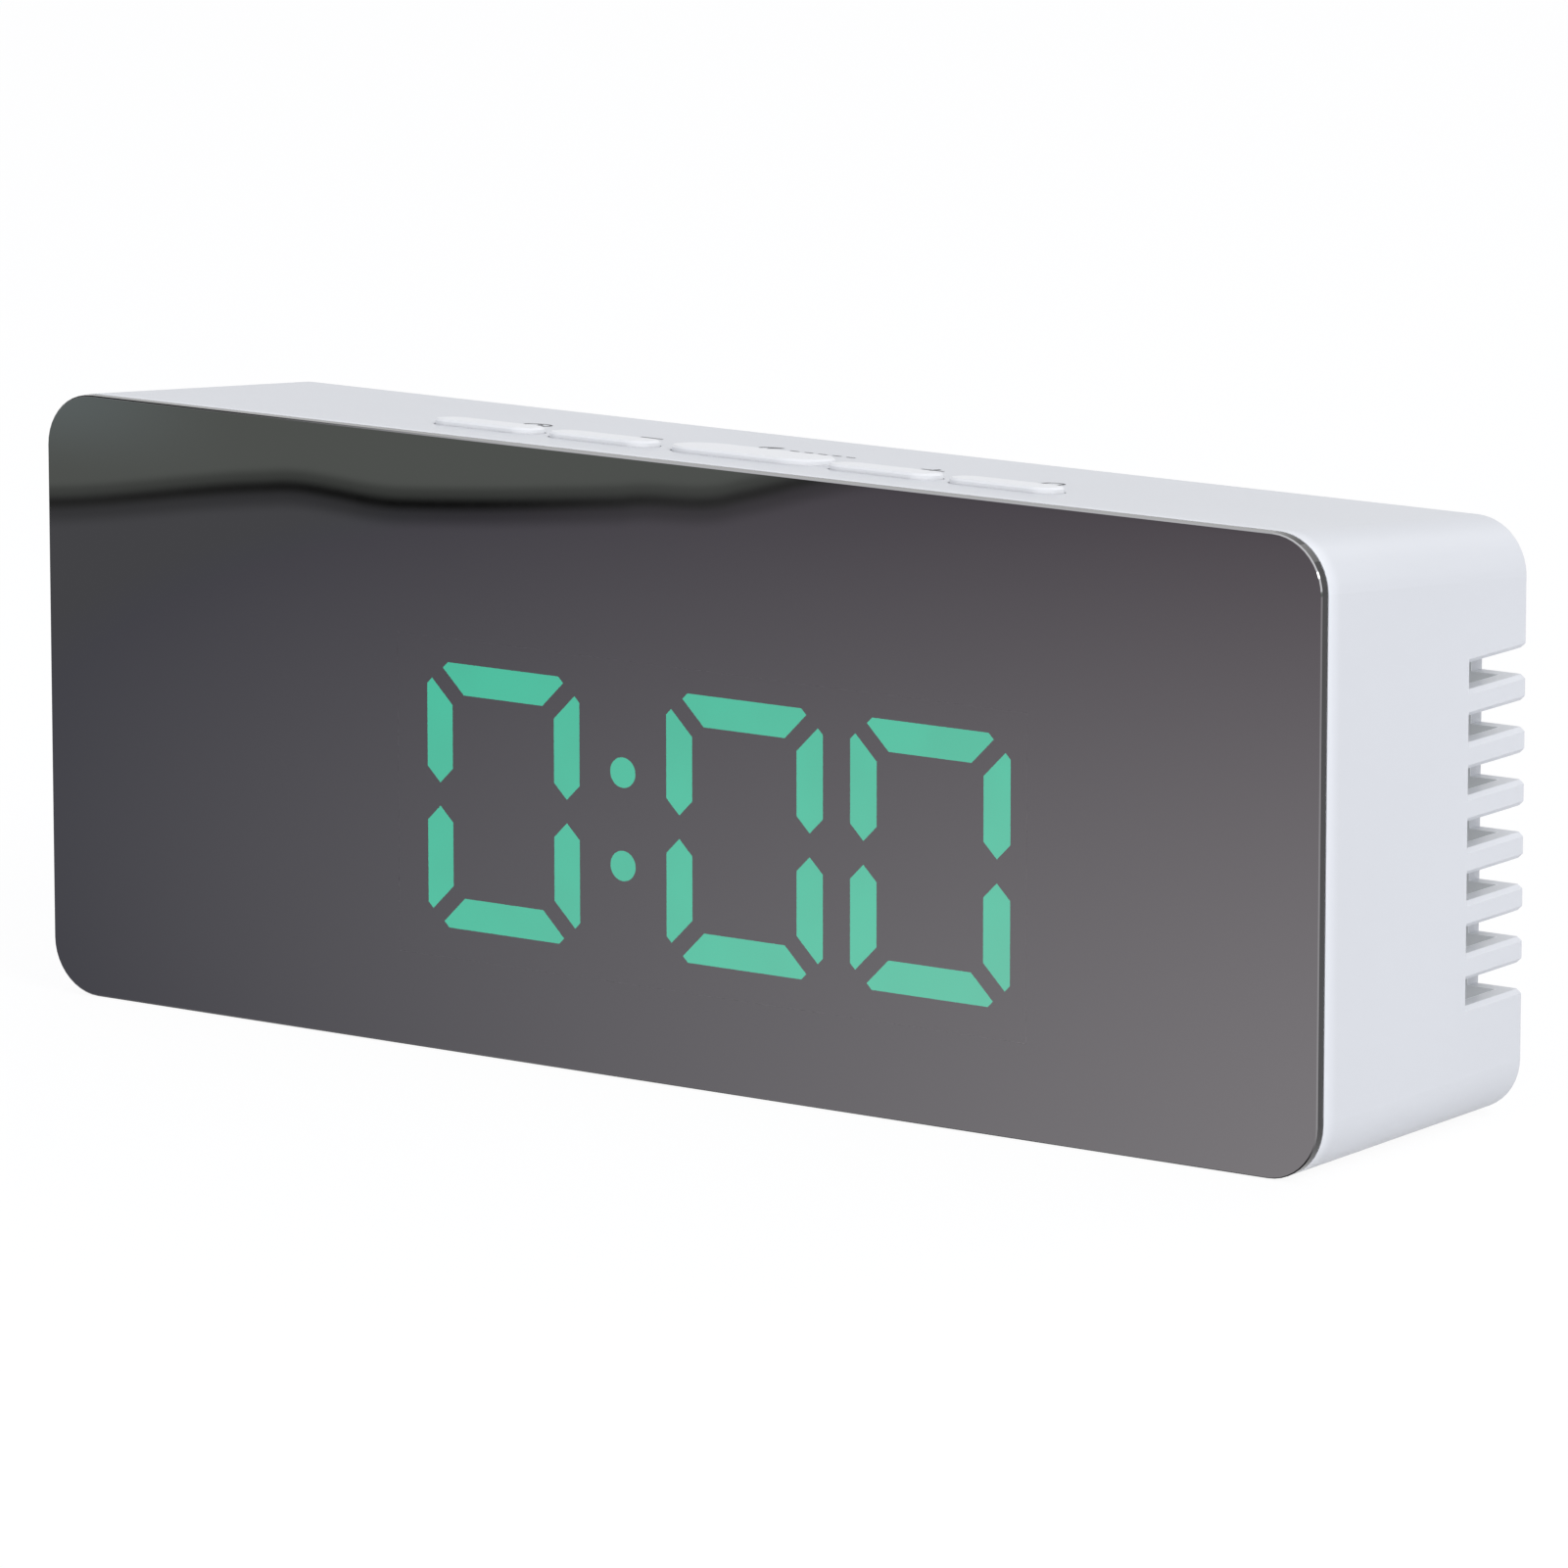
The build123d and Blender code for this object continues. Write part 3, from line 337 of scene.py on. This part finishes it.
# Diffuser lit from behind, a touch uneven over its length
def litMaterial(look):
    material, tree, shader = newMaterial("litDiffuser")
    glow = objectNoise(tree, 160.0, 1.0)
    tint = rampBetween(tree, glow.outputs["Fac"], [
        (0.3, shade(look["colour"], look["edge"])),
        (0.7, look["colour"]),
    ])
    tree.links.new(tint.outputs["Color"], shader.inputs["Emission Color"])
    shader.inputs["Base Color"].default_value = (0.0, 0.01, 0.006, 1.0)
    shader.inputs["Specular IOR Level"].default_value = 0.0
    shader.inputs["Emission Strength"].default_value = look["strength"]
    shader.inputs["Roughness"].default_value = 0.6
    return material


def metalMaterial(name, colour, roughness, brushScale=(1, 1, 1)):
    material, tree, shader = newMaterial(name)
    shader.inputs["Metallic"].default_value = 1.0
    brush = objectNoise(tree, 700.0, 3.0, stretch=brushScale)
    tree.links.new(mapTo(tree, brush.outputs["Fac"], roughness - 0.08, roughness + 0.1),
                   shader.inputs["Roughness"])
    tint = rampBetween(tree, brush.outputs["Fac"], [
        (0.35, shade(colour, 0.9)),
        (0.65, shade(colour, 1.06)),
    ])
    tree.links.new(tint.outputs["Color"], shader.inputs["Base Color"])
    return material


# Solder mask over copper, with pale tracks that follow a grid
def boardMaterial():
    material, tree, shader = newMaterial("solderMask")
    coords = addNode(tree, "ShaderNodeTexCoord")
    tracks = addNode(tree, "ShaderNodeTexBrick", Scale=55.0)
    tracks.inputs["Mortar Size"].default_value = 0.03
    tracks.inputs["Color1"].default_value = (0.012, 0.10, 0.05, 1)
    tracks.inputs["Color2"].default_value = (0.012, 0.115, 0.055, 1)
    tracks.inputs["Mortar"].default_value = (0.03, 0.19, 0.09, 1)
    mapping = addNode(tree, "ShaderNodeMapping", Rotation=(math.radians(90), 0, 0))
    tree.links.new(coords.outputs["Object"], mapping.inputs["Vector"])
    tree.links.new(mapping.outputs["Vector"], tracks.inputs["Vector"])
    tree.links.new(tracks.outputs["Color"], shader.inputs["Base Color"])
    shader.inputs["Roughness"].default_value = 0.32
    return material


def give(nodeName, material):
    mesh = nodes[nodeName].data
    mesh.materials.clear()
    mesh.materials.append(material)
    for polygon in mesh.polygons:
        polygon.material_index = 0


keyNames = ("set", "minus", "snooze", "plus", "alarm")
whitePlastic = mouldedPlastic("whitePlastic", whiteLook)
keyPlastic = mouldedPlastic("whiteKeyPlastic", keyLook)
blackPlastic = mouldedPlastic("blackPlastic", blackLook)
creamPlastic = mouldedPlastic("plungerNylon", creamLook)
reflectorPlastic = mouldedPlastic("reflectorWhite", reflectorLook)
hiddenBlack = {**blackLook, "colour": (0.004, 0.004, 0.004), "gloss": 0.0, "roughness": 0.8}
maskPrint = mouldedPlastic("maskPrint", hiddenBlack)
darkDiffuser = mouldedPlastic("darkDiffuser", hiddenBlack)
framePlastic = mouldedPlastic("framePlastic", hiddenBlack)
tapeFilm = mouldedPlastic("tapeFilm", {**blackLook, "colour": (0.02, 0.02, 0.02)})
chipEpoxy = mouldedPlastic("chipEpoxy", {**blackLook, "colour": (0.02, 0.02, 0.022)})
clearResin = mouldedPlastic("ledResin", {**reflectorLook, "colour": (0.75, 0.74, 0.55)})
steel = metalMaterial("zincScrewSteel", (0.60, 0.60, 0.62), 0.3)
blackSteel = metalMaterial("blackedScrewSteel", (0.012, 0.012, 0.013), 0.45)
nickel = metalMaterial("nickelPlate", (0.70, 0.67, 0.61), 0.25, (1, 6, 1))
tin = metalMaterial("pinGold", (0.80, 0.63, 0.30), 0.25)
can = metalMaterial("canAluminium", (0.72, 0.72, 0.74), 0.3, (1, 1, 8))
board = boardMaterial()
lit = litMaterial(litLook)

give("housing", housingPlastic(whiteLook, housingLook))
give("battery_door", whitePlastic)
for keyName in keyNames:
    give(keyName + "_key", keyPlastic)
    give(keyName + "_switch", blackPlastic)
    give(keyName + "_plunger", creamPlastic)
for nodeName in ("buzzer", "socket_tongue"):
    give(nodeName, blackPlastic)
give("front_frame", framePlastic)
for nodeName in ("processor", "digit_drivers", "segment_resistors"):
    give(nodeName, chipEpoxy)
for nodeName in ("lit_segments", "colon_dots"):
    give(nodeName, lit)
for nodeName in ("display_board", "main_board"):
    give(nodeName, board)
give("board_screws", steel)
give("frame_screws", blackSteel)
for nodeName in ("positive_contact", "left_link_contact", "right_link_contact", "negative_contact"):
    give(nodeName, nickel)
for nodeName in ("supply_capacitor", "clock_crystal", "power_socket"):
    give(nodeName, can)
give("mirror_panel", mirrorMaterial(halfMirror))
give("mirror_tape", tapeFilm)
give("display_mask", maskPrint)
give("unlit_segments", darkDiffuser)
give("display_reflector", reflectorPlastic)
give("segment_leds", clearResin)
give("pin_strips", tin)
print("plastics and metals given")


cellWrap = {
    "wrap": (0.03, 0.10, 0.075),
    "band": (0.55, 0.36, 0.12),
    "bandFrom": 0.012,       # from the positive shoulder, in metres
    "capLength": 0.0012,
}


# A plain wrapped cell: bare metal ends, a copper-coloured band and a dark wrap
def cellMaterial(name, shoulderX, side, look):
    material, tree, shader = newMaterial(name)
    place = objectAxes(tree)
    along = addNode(tree, "ShaderNodeMapRange")
    tree.links.new(place["X"], along.inputs["Value"])
    cellLength = 0.0437
    along.inputs["From Min"].default_value = shoulderX
    along.inputs["From Max"].default_value = shoulderX + side * cellLength
    capShare = look["capLength"] / cellLength
    bandShare = look["bandFrom"] / cellLength
    metal = (0.62, 0.61, 0.58)
    tint = rampBetween(tree, along.outputs["Result"], [
        (0.0, metal), (capShare, look["band"]), (bandShare, look["wrap"]), (1 - capShare, metal),
    ])
    tint.color_ramp.interpolation = "CONSTANT"
    tree.links.new(tint.outputs["Color"], shader.inputs["Base Color"])
    shiny = rampBetween(tree, along.outputs["Result"], [
        (0.0, (1, 1, 1)), (capShare, (0.6, 0.6, 0.6)), (bandShare, (0, 0, 0)), (1 - capShare, (1, 1, 1)),
    ])
    shiny.color_ramp.interpolation = "CONSTANT"
    tree.links.new(shiny.outputs["Color"], shader.inputs["Metallic"])
    shader.inputs["Roughness"].default_value = 0.3
    return material


for cellName, side in (("upper_cell", 1), ("middle_cell", -1), ("lower_cell", 1)):
    low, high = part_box(cellName)
    tipLength = 0.8 * mm
    shoulder = low[0] + tipLength if side > 0 else high[0] - tipLength
    give(cellName, cellMaterial(cellName + "Wrap", shoulder, side, cellWrap))
print("cells wrapped")


# Printed marks behind the keys: plain signs in place of words

marks = {
    "height": 0.03,          # millimetres above the top face
    "topFall": 3.2,          # of the top, from the housing's rim to its rear
    "flange": 0.7,           # of each key, under the top
    "stroke": 0.27,
    "size": 2.5,
    "gap": 5.3,              # from a key's rear edge to the middle of its mark
    "colour": (0.07, 0.072, 0.08),
}


def flatBar(mesh, centre, length, width, angle=0.0):
    corners = []
    for u, v in ((-1, -1), (1, -1), (1, 1), (-1, 1)):
        x = u * length / 2
        y = v * width / 2
        corners.append(mesh.verts.new((
            centre[0] + x * math.cos(angle) - y * math.sin(angle),
            centre[1] + x * math.sin(angle) + y * math.cos(angle),
            0.0,
        )))
    mesh.faces.new(corners)


def flatArc(mesh, centre, radius, width, start, end, steps=24):
    inner, outer = [], []
    for step in range(steps + 1):
        angle = math.radians(start + (end - start) * step / steps)
        for ring, reach in ((inner, radius - width / 2), (outer, radius + width / 2)):
            ring.append(mesh.verts.new((
                centre[0] + reach * math.cos(angle), centre[1] + reach * math.sin(angle), 0.0,
            )))
    for step in range(steps):
        mesh.faces.new((inner[step], outer[step], outer[step + 1], inner[step + 1]))


def drawClock(mesh, place, look):
    size, stroke = look["size"], look["stroke"]
    flatArc(mesh, place, size / 2, stroke, 0, 360)
    flatBar(mesh, (place[0], place[1] + size / 6), size / 3, stroke, math.pi / 2)
    flatBar(mesh, (place[0] + size / 8, place[1]), size / 4, stroke)


def drawMinus(mesh, place, look):
    flatBar(mesh, place, look["size"], look["stroke"])


def drawPlus(mesh, place, look):
    flatBar(mesh, place, look["size"], look["stroke"])
    flatBar(mesh, place, look["size"], look["stroke"], math.pi / 2)


def drawSnooze(mesh, place, look):
    size, stroke = look["size"], look["stroke"]
    moonX = place[0] - size * 1.6
    flatArc(mesh, (moonX, place[1]), size / 2, stroke, 70, 290)
    flatArc(mesh, (moonX + size / 3, place[1]), size / 2.2, stroke, 120, 240)
    for index in range(5):
        flatBar(mesh, (place[0] + (index - 1) * size * 0.62, place[1]), size * 0.4, stroke)


def drawBell(mesh, place, look):
    x, y = place
    half, stroke = look["size"] / 2, look["stroke"]
    flatArc(mesh, (x, y + half * 0.2), half * 0.7, stroke, 0, 180, 16)
    for side in (-1, 1):
        flatBar(mesh, (x + side * half * 0.7, y - half * 0.2), half * 0.8, stroke, math.pi / 2)
    flatBar(mesh, (x, y - half * 0.6), look["size"], stroke)
    flatBar(mesh, (x, y - half * 0.95), half * 0.5, stroke)


def finishMesh(mesh, name):
    data = bpy.data.meshes.new(name)
    mesh.to_mesh(data)
    mesh.free()
    piece = bpy.data.objects.new(name, data)
    scene.collection.objects.link(piece)
    return piece


def makeMarks(look):
    ink, tree, shader = newMaterial("padPrintInk")
    speckle = objectNoise(tree, 3000.0)
    tint = rampBetween(tree, speckle.outputs["Fac"], [
        (0.35, shade(look["colour"], 0.85)), (0.65, shade(look["colour"], 1.3)),
    ])
    tree.links.new(tint.outputs["Color"], shader.inputs["Base Color"])
    shader.inputs["Roughness"].default_value = 0.6
    rim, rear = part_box("housing")
    slope = look["topFall"] * mm / (rear[1] - rim[1])
    drawings = (drawClock, drawMinus, drawSnooze, drawPlus, drawBell)
    for keyName, drawing in zip(keyNames, drawings):
        low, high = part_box(keyName + "_key")
        place = ((low[0] + high[0]) / 2 / mm, high[1] / mm - look["flange"] + look["gap"])
        mesh = bmesh.new()
        drawing(mesh, place, look)
        bmesh.ops.recalc_face_normals(mesh, faces=mesh.faces)
        for face in mesh.faces:
            if face.normal.z < 0:
                face.normal_flip()
        bmesh.ops.scale(mesh, verts=mesh.verts, vec=(mm, mm, mm))
        for vert in mesh.verts:
            vert.co.z = rear[2] - slope * (vert.co.y - rim[1]) + look["height"] * mm
        piece = finishMesh(mesh, keyName + "Mark")
        piece.data.materials.append(ink)
        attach(piece, "case")


makeMarks(marks)
print("marks printed")


# Small repeated forms, laid out by Geometry Nodes: solder joints on the main board's pins and
# the grip ribs of the battery door

solder = {
    "profile": ((0.80, 0.0), (0.62, 0.08), (0.50, 0.24), (0.44, 0.48), (0.30, 0.60)),
    "sides": 20,
    "pins": 6,
    "spacing": 2.54,
    "colour": (0.72, 0.72, 0.74),
}
grip = {
    "length": 13.0,
    "width": 1.0,
    "height": 0.3,
    "ribs": 5,
    "spacing": 1.9,
    "fromTop": 5.0,          # from the door's upper edge to its top rib
}


# Closed form from outlines stacked along +Y, each a list of (x, z) in millimetres
def stackOutlines(name, layers):
    mesh = bmesh.new()
    rings = [[mesh.verts.new((x * mm, height * mm, z * mm)) for x, z in outline]
             for outline, height in layers]
    for lower, upper in zip(rings, rings[1:]):
        for index in range(len(lower)):
            after = (index + 1) % len(lower)
            mesh.faces.new((lower[index], lower[after], upper[after], upper[index]))
    mesh.faces.new(rings[0])
    mesh.faces.new(rings[-1])
    bmesh.ops.recalc_face_normals(mesh, faces=mesh.faces)
    return finishMesh(mesh, name)


def roundOutline(length, width, sides):
    outline = []
    for index in range(sides):
        angle = 2 * math.pi * (index + 0.5) / sides
        shift = math.copysign((length - width) / 2, math.cos(angle))
        outline.append((shift + width / 2 * math.cos(angle), width / 2 * math.sin(angle)))
    return outline


# Rows of one shape: a line of groups, each with a line of copies
def rowsOfShape():
    tree = bpy.data.node_groups.new("rowsOfShape", "GeometryNodeTree")
    wanted = (
        ("Shape", "NodeSocketObject"),
        ("Groups", "NodeSocketInt"), ("Group Step", "NodeSocketVector"),
        ("Copies", "NodeSocketInt"), ("Copy Step", "NodeSocketVector"),
        ("Start", "NodeSocketVector"), ("Material", "NodeSocketMaterial"),
    )
    for label, kind in wanted:
        tree.interface.new_socket(name=label, in_out="INPUT", socket_type=kind)
    tree.interface.new_socket(name="Geometry", in_out="OUTPUT", socket_type="NodeSocketGeometry")
    given = tree.nodes.new("NodeGroupInput").outputs
    groups = tree.nodes.new("GeometryNodeMeshLine")
    copies = tree.nodes.new("GeometryNodeMeshLine")
    for line, count, step in ((groups, "Groups", "Group Step"), (copies, "Copies", "Copy Step")):
        tree.links.new(given[count], line.inputs["Count"])
        tree.links.new(given[step], line.inputs["Offset"])
    tree.links.new(given["Start"], groups.inputs["Start Location"])
    spread = tree.nodes.new("GeometryNodeInstanceOnPoints")
    tree.links.new(groups.outputs[0], spread.inputs["Points"])
    tree.links.new(copies.outputs[0], spread.inputs["Instance"])
    points = tree.nodes.new("GeometryNodeRealizeInstances")
    tree.links.new(spread.outputs[0], points.inputs[0])
    shape = tree.nodes.new("GeometryNodeObjectInfo")
    tree.links.new(given["Shape"], shape.inputs["Object"])
    placed = tree.nodes.new("GeometryNodeInstanceOnPoints")
    tree.links.new(points.outputs[0], placed.inputs["Points"])
    tree.links.new(shape.outputs["Geometry"], placed.inputs["Instance"])
    real = tree.nodes.new("GeometryNodeRealizeInstances")
    tree.links.new(placed.outputs[0], real.inputs[0])
    coat = tree.nodes.new("GeometryNodeSetMaterial")
    tree.links.new(real.outputs[0], coat.inputs["Geometry"])
    tree.links.new(given["Material"], coat.inputs["Material"])
    tree.links.new(coat.outputs[0], tree.nodes.new("NodeGroupOutput").inputs[0])
    return tree


def layRows(name, tree, values):
    holder = bpy.data.objects.new(name + "Rows", bpy.data.meshes.new(name + "Rows"))
    scene.collection.objects.link(holder)
    rows = holder.modifiers.new("rows", "NODES")
    rows.node_group = tree
    for item in tree.interface.items_tree:
        if item.in_out == "INPUT":
            rows[item.identifier] = values[item.name]
    bpy.context.view_layer.update()
    shaped = holder.evaluated_get(bpy.context.evaluated_depsgraph_get())
    data = bpy.data.meshes.new_from_object(shaped)
    data.name = name
    piece = bpy.data.objects.new(name, data)
    scene.collection.objects.link(piece)
    for spare in (holder, values["Shape"]):
        bpy.data.objects.remove(spare)
    return piece


def makeSolder(look, tree):
    low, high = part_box("pin_strips")
    step = look["spacing"] * mm
    start = (low[0] + step / 2, high[1], (low[2] + high[2]) / 2)
    layers = [(roundOutline(2 * reach, 2 * reach, look["sides"]), height)
              for reach, height in look["profile"]]
    piece = layRows("solderJoints", tree, {
        "Shape": stackOutlines("solderJoint", layers),
        "Groups": 2,
        "Group Step": (high[0] - low[0] - look["pins"] * step, 0.0, 0.0),
        "Copies": look["pins"],
        "Copy Step": (step, 0.0, 0.0),
        "Start": start,
        "Material": metalMaterial("solder", look["colour"], 0.28),
    })
    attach(piece, "case")


def makeGrip(look, tree):
    low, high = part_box("battery_door")
    start = ((low[0] + high[0]) / 2, high[1], high[2] - look["fromTop"] * mm)
    layers = []
    for turn in range(5):
        angle = math.radians(20 * turn)
        drop = look["width"] * (1 - math.cos(angle)) * 0.75
        layers.append((roundOutline(look["length"] - drop, look["width"] - drop, 16),
                       look["height"] * math.sin(angle)))
    piece = layRows("doorGrip", tree, {
        "Shape": stackOutlines("gripRib", layers),
        "Groups": 1,
        "Group Step": (0.0, 0.0, 0.0),
        "Copies": look["ribs"],
        "Copy Step": (0.0, 0.0, -look["spacing"] * mm),
        "Start": start,
        "Material": whitePlastic,
    })
    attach(piece, "door")


rowTree = rowsOfShape()
makeSolder(solder, rowTree)
makeGrip(grip, rowTree)
print("solder joints and grip ribs laid")


# Studio: pale floor, soft dome and three large soft lamps

studio = {
    "floorSize": 8.0,
    "floorColour": (0.86, 0.86, 0.87),
    "floorShown": 1.03,              # unshaded floor as the camera sees it
    "shadowShare": 0.1,              # how much of the floor's own shading the camera sees
    "dome": 0.64,
    "domeColour": (0.965, 0.99, 1.06),
    "lamps": (                       # name, place, size, power
        ("keyLamp", (1.2, -0.38, 0.83), 0.9, 8.7),
        ("fillLamp", (0.1, -1.4, 0.5), 0.5, 3.0),
        ("rimLamp", (0.27, 1.2, 0.86), 0.6, 1.0),
    ),
}


# One where the ray is any of the named kinds
def rayIs(tree, paths, names):
    total = paths.outputs[names[0]]
    for name in names[1:]:
        both = addNode(tree, "ShaderNodeMath", operation="MAXIMUM")
        tree.links.new(total, both.inputs[0])
        tree.links.new(paths.outputs[name], both.inputs[1])
        total = both.outputs[0]
    return total


def makeWorld(look):
    world = bpy.data.worlds.new("softDome")
    scene.world = world
    world.use_nodes = True
    tree = world.node_tree
    tree.nodes.clear()
    paths = addNode(tree, "ShaderNodeLightPath")
    dome = addNode(tree, "ShaderNodeBackground", Color=(*look["domeColour"], 1), Strength=look["dome"])
    white = addNode(tree, "ShaderNodeBackground", Color=(1, 1, 1, 1), Strength=1.0)
    mixed = addNode(tree, "ShaderNodeMixShader")
    out = addNode(tree, "ShaderNodeOutputWorld")
    direct = rayIs(tree, paths, ["Is Camera Ray", "Is Transmission Ray", "Is Glossy Ray"])
    tree.links.new(direct, mixed.inputs["Fac"])
    tree.links.new(dome.outputs[0], mixed.inputs[1])
    tree.links.new(white.outputs[0], mixed.inputs[2])
    tree.links.new(mixed.outputs[0], out.inputs["Surface"])


# What the half-mirror shows: a grey surface in front of it that gets lighter to the right and
# downwards, and above a wavy dark edge a dim greenish one. The tones were measured in the photograph
# and then rounded and simplified. They are laid out on the mirror's face in millimetres and painted
# on the floor that the mirror reflects.
reflection = {
    "bounce": (0.353, 0.344, 0.363),         # of the mirror
    "tone": (0.105, 0.10, 0.11),
    "acrossTone": (0.05, 0.045, 0.045),      # added towards the right end
    "upTone": (-0.035, -0.035, -0.035),      # added towards the top
    "acrossUpTone": (-0.02, -0.02, -0.02),
    "upTwiceTone": (-0.015, -0.015, -0.015),
    "leastTone": (0.055, 0.055, 0.06),
    "farTone": (0.075, 0.08, 0.075),
    "farLeftTone": (0.10, 0.115, 0.115),
    "fade": (-0.4, -2.4),    # along Y, where the tones turn into the white of the background
    "edge": ((-70, 46.5), (-44, 50.5), (-28, 50.5), (-4, 53.0), (8, 54.5), (24, 59.0)),
    "edgeFrom": 40.0,
    "edgeTo": 60.0,
    "edgeShape": ((-2.5, 1.0), (-1.0, 0.5), (0.0, 0.0), (1.0, 0.5), (2.0, 1.0)),
    "edgeDark": ((-70, 0.015), (-25, 0.003), (5, 0.02)),
}


def tonesOver(tree, source, stops, start, end, interpolation="EASE"):
    share = [((x - start) / (end - start), (value,) * 3) for x, value in stops]
    along = mathNode(tree, "DIVIDE", mathNode(tree, "SUBTRACT", source, start), end - start)
    ramp = rampBetween(tree, along, share)
    ramp.color_ramp.interpolation = interpolation
    return ramp.outputs["Color"]


def withinReach(tree, share):
    return mathNode(tree, "MINIMUM", mathNode(tree, "MAXIMUM", share, -1.1), 1.1)


def reflectedColour(tree, look):
    place = objectAxes(tree)

    # From the floor to the mirror's face, for the photograph's viewpoint
    eyeX, eyeY, eyeZ = cameraView["place"]
    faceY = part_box("mirror_panel")[0][1]
    imageY = 2 * faceY - eyeY
    share = mathNode(tree, "DIVIDE", faceY - imageY, mathNode(tree, "SUBTRACT", place["Y"], imageY))
    across = mathNode(tree, "MULTIPLY", share, mathNode(tree, "SUBTRACT", place["X"], eyeX))
    across = mathNode(tree, "MULTIPLY", mathNode(tree, "ADD", across, eyeX), 1000.0)
    up = mathNode(tree, "MULTIPLY", mathNode(tree, "SUBTRACT", 1.0, share), eyeZ * 1000.0)

    acrossShare = withinReach(tree, mathNode(tree, "DIVIDE", across, 70.0))
    upShare = mathNode(tree, "DIVIDE", mathNode(tree, "SUBTRACT", up, 28.0), 28.0)
    upShare = withinReach(tree, upShare)
    acrossUp = mathNode(tree, "MULTIPLY", acrossShare, upShare)
    upTwice = mathNode(tree, "MULTIPLY", upShare, upShare)
    tone = addNode(tree, "ShaderNodeCombineColor")
    for channel, name in enumerate(("Red", "Green", "Blue")):
        total = look["tone"][channel]
        for measure, key in ((acrossShare, "acrossTone"), (upShare, "upTone"),
                             (acrossUp, "acrossUpTone"), (upTwice, "upTwiceTone")):
            part = mathNode(tree, "MULTIPLY", measure, look[key][channel])
            total = mathNode(tree, "ADD", total, part)
        tree.links.new(mathNode(tree, "MAXIMUM", total, look["leastTone"][channel]), tone.inputs[name])

    left = mathNode(tree, "MULTIPLY", smoothStep(tree, across, -46.0, -72.0),
                    smoothStep(tree, up, 49.0, 57.0))
    far = mixColours(tree, left, look["farTone"], look["farLeftTone"])
    edgeReach = look["edgeTo"] - look["edgeFrom"]
    edgeShare = [(x, (height - look["edgeFrom"]) / edgeReach) for x, height in look["edge"]]
    edge = tonesOver(tree, across, edgeShare, -70.0, 24.0, "CARDINAL")
    edgeUp = mathNode(tree, "ADD", mathNode(tree, "MULTIPLY", edge, edgeReach), look["edgeFrom"])
    above = mathNode(tree, "SUBTRACT", up, edgeUp)
    side = smoothStep(tree, above, -0.8, 0.8)
    plain = mixColours(tree, side, tone.outputs["Color"], far)
    dark = tonesOver(tree, across, look["edgeDark"], -70.0, 24.0)
    clear = tonesOver(tree, above, look["edgeShape"], -3.5, 3.5)
    seen = mixColours(tree, clear, dark, plain)

    bright = addNode(tree, "ShaderNodeMix", data_type="RGBA", blend_type="DIVIDE")
    bright.inputs["Factor"].default_value = 1.0
    tree.links.new(seen, bright.inputs["A"])
    bright.inputs["B"].default_value = (*look["bounce"], 1.0)
    away = smoothStep(tree, place["Y"], *look["fade"])
    faded = mixColours(tree, away, bright.outputs["Result"], (1.0, 1.0, 1.0))
    behind = mathNode(tree, "GREATER_THAN", place["Y"], faceY)
    return mixColours(tree, behind, faded, studio["floorColour"])


def makeFloor(look, mirrored):
    mesh = bmesh.new()
    bmesh.ops.create_grid(mesh, x_segments=1, y_segments=1, size=look["floorSize"] / 2)
    floor = finishMesh(mesh, "paleFloor")
    floor.location.z = -0.1 * mm
    material = bpy.data.materials.new("paleFloor")
    material.use_nodes = True
    tree = material.node_tree
    tree.nodes.clear()
    paths = addNode(tree, "ShaderNodeLightPath")
    matte = addNode(tree, "ShaderNodeBsdfDiffuse", Color=(*look["floorColour"], 1))
    white = addNode(tree, "ShaderNodeEmission", Color=(1, 1, 1, 1), Strength=look["floorShown"])
    shown = addNode(tree, "ShaderNodeMixShader", Fac=1 - look["shadowShare"])
    tree.links.new(matte.outputs[0], shown.inputs[1])
    tree.links.new(white.outputs[0], shown.inputs[2])

    seen = addNode(tree, "ShaderNodeEmission", Strength=1.0)
    tree.links.new(reflectedColour(tree, mirrored), seen.inputs["Color"])
    first = addNode(tree, "ShaderNodeMixShader")
    second = addNode(tree, "ShaderNodeMixShader")
    out = addNode(tree, "ShaderNodeOutputMaterial")
    tree.links.new(rayIs(tree, paths, ["Is Camera Ray", "Is Transmission Ray"]), first.inputs["Fac"])
    tree.links.new(matte.outputs[0], first.inputs[1])
    tree.links.new(shown.outputs[0], first.inputs[2])
    tree.links.new(paths.outputs["Is Glossy Ray"], second.inputs["Fac"])
    tree.links.new(first.outputs[0], second.inputs[1])
    tree.links.new(seen.outputs[0], second.inputs[2])
    tree.links.new(second.outputs[0], out.inputs["Surface"])
    floor.data.materials.append(material)


def makeLamp(name, place, size, power):
    data = bpy.data.lights.new(name, "AREA")
    data.energy = power
    data.size = size
    lamp = bpy.data.objects.new(name, data)
    scene.collection.objects.link(lamp)
    lamp.location = place
    lamp.rotation_euler = (Vector((0, 0, 0.02)) - Vector(place)).to_track_quat("-Z", "Y").to_euler()


makeWorld(studio)
makeFloor(studio, reflection)
for lamp in studio["lamps"]:
    makeLamp(*lamp)
print("studio set")
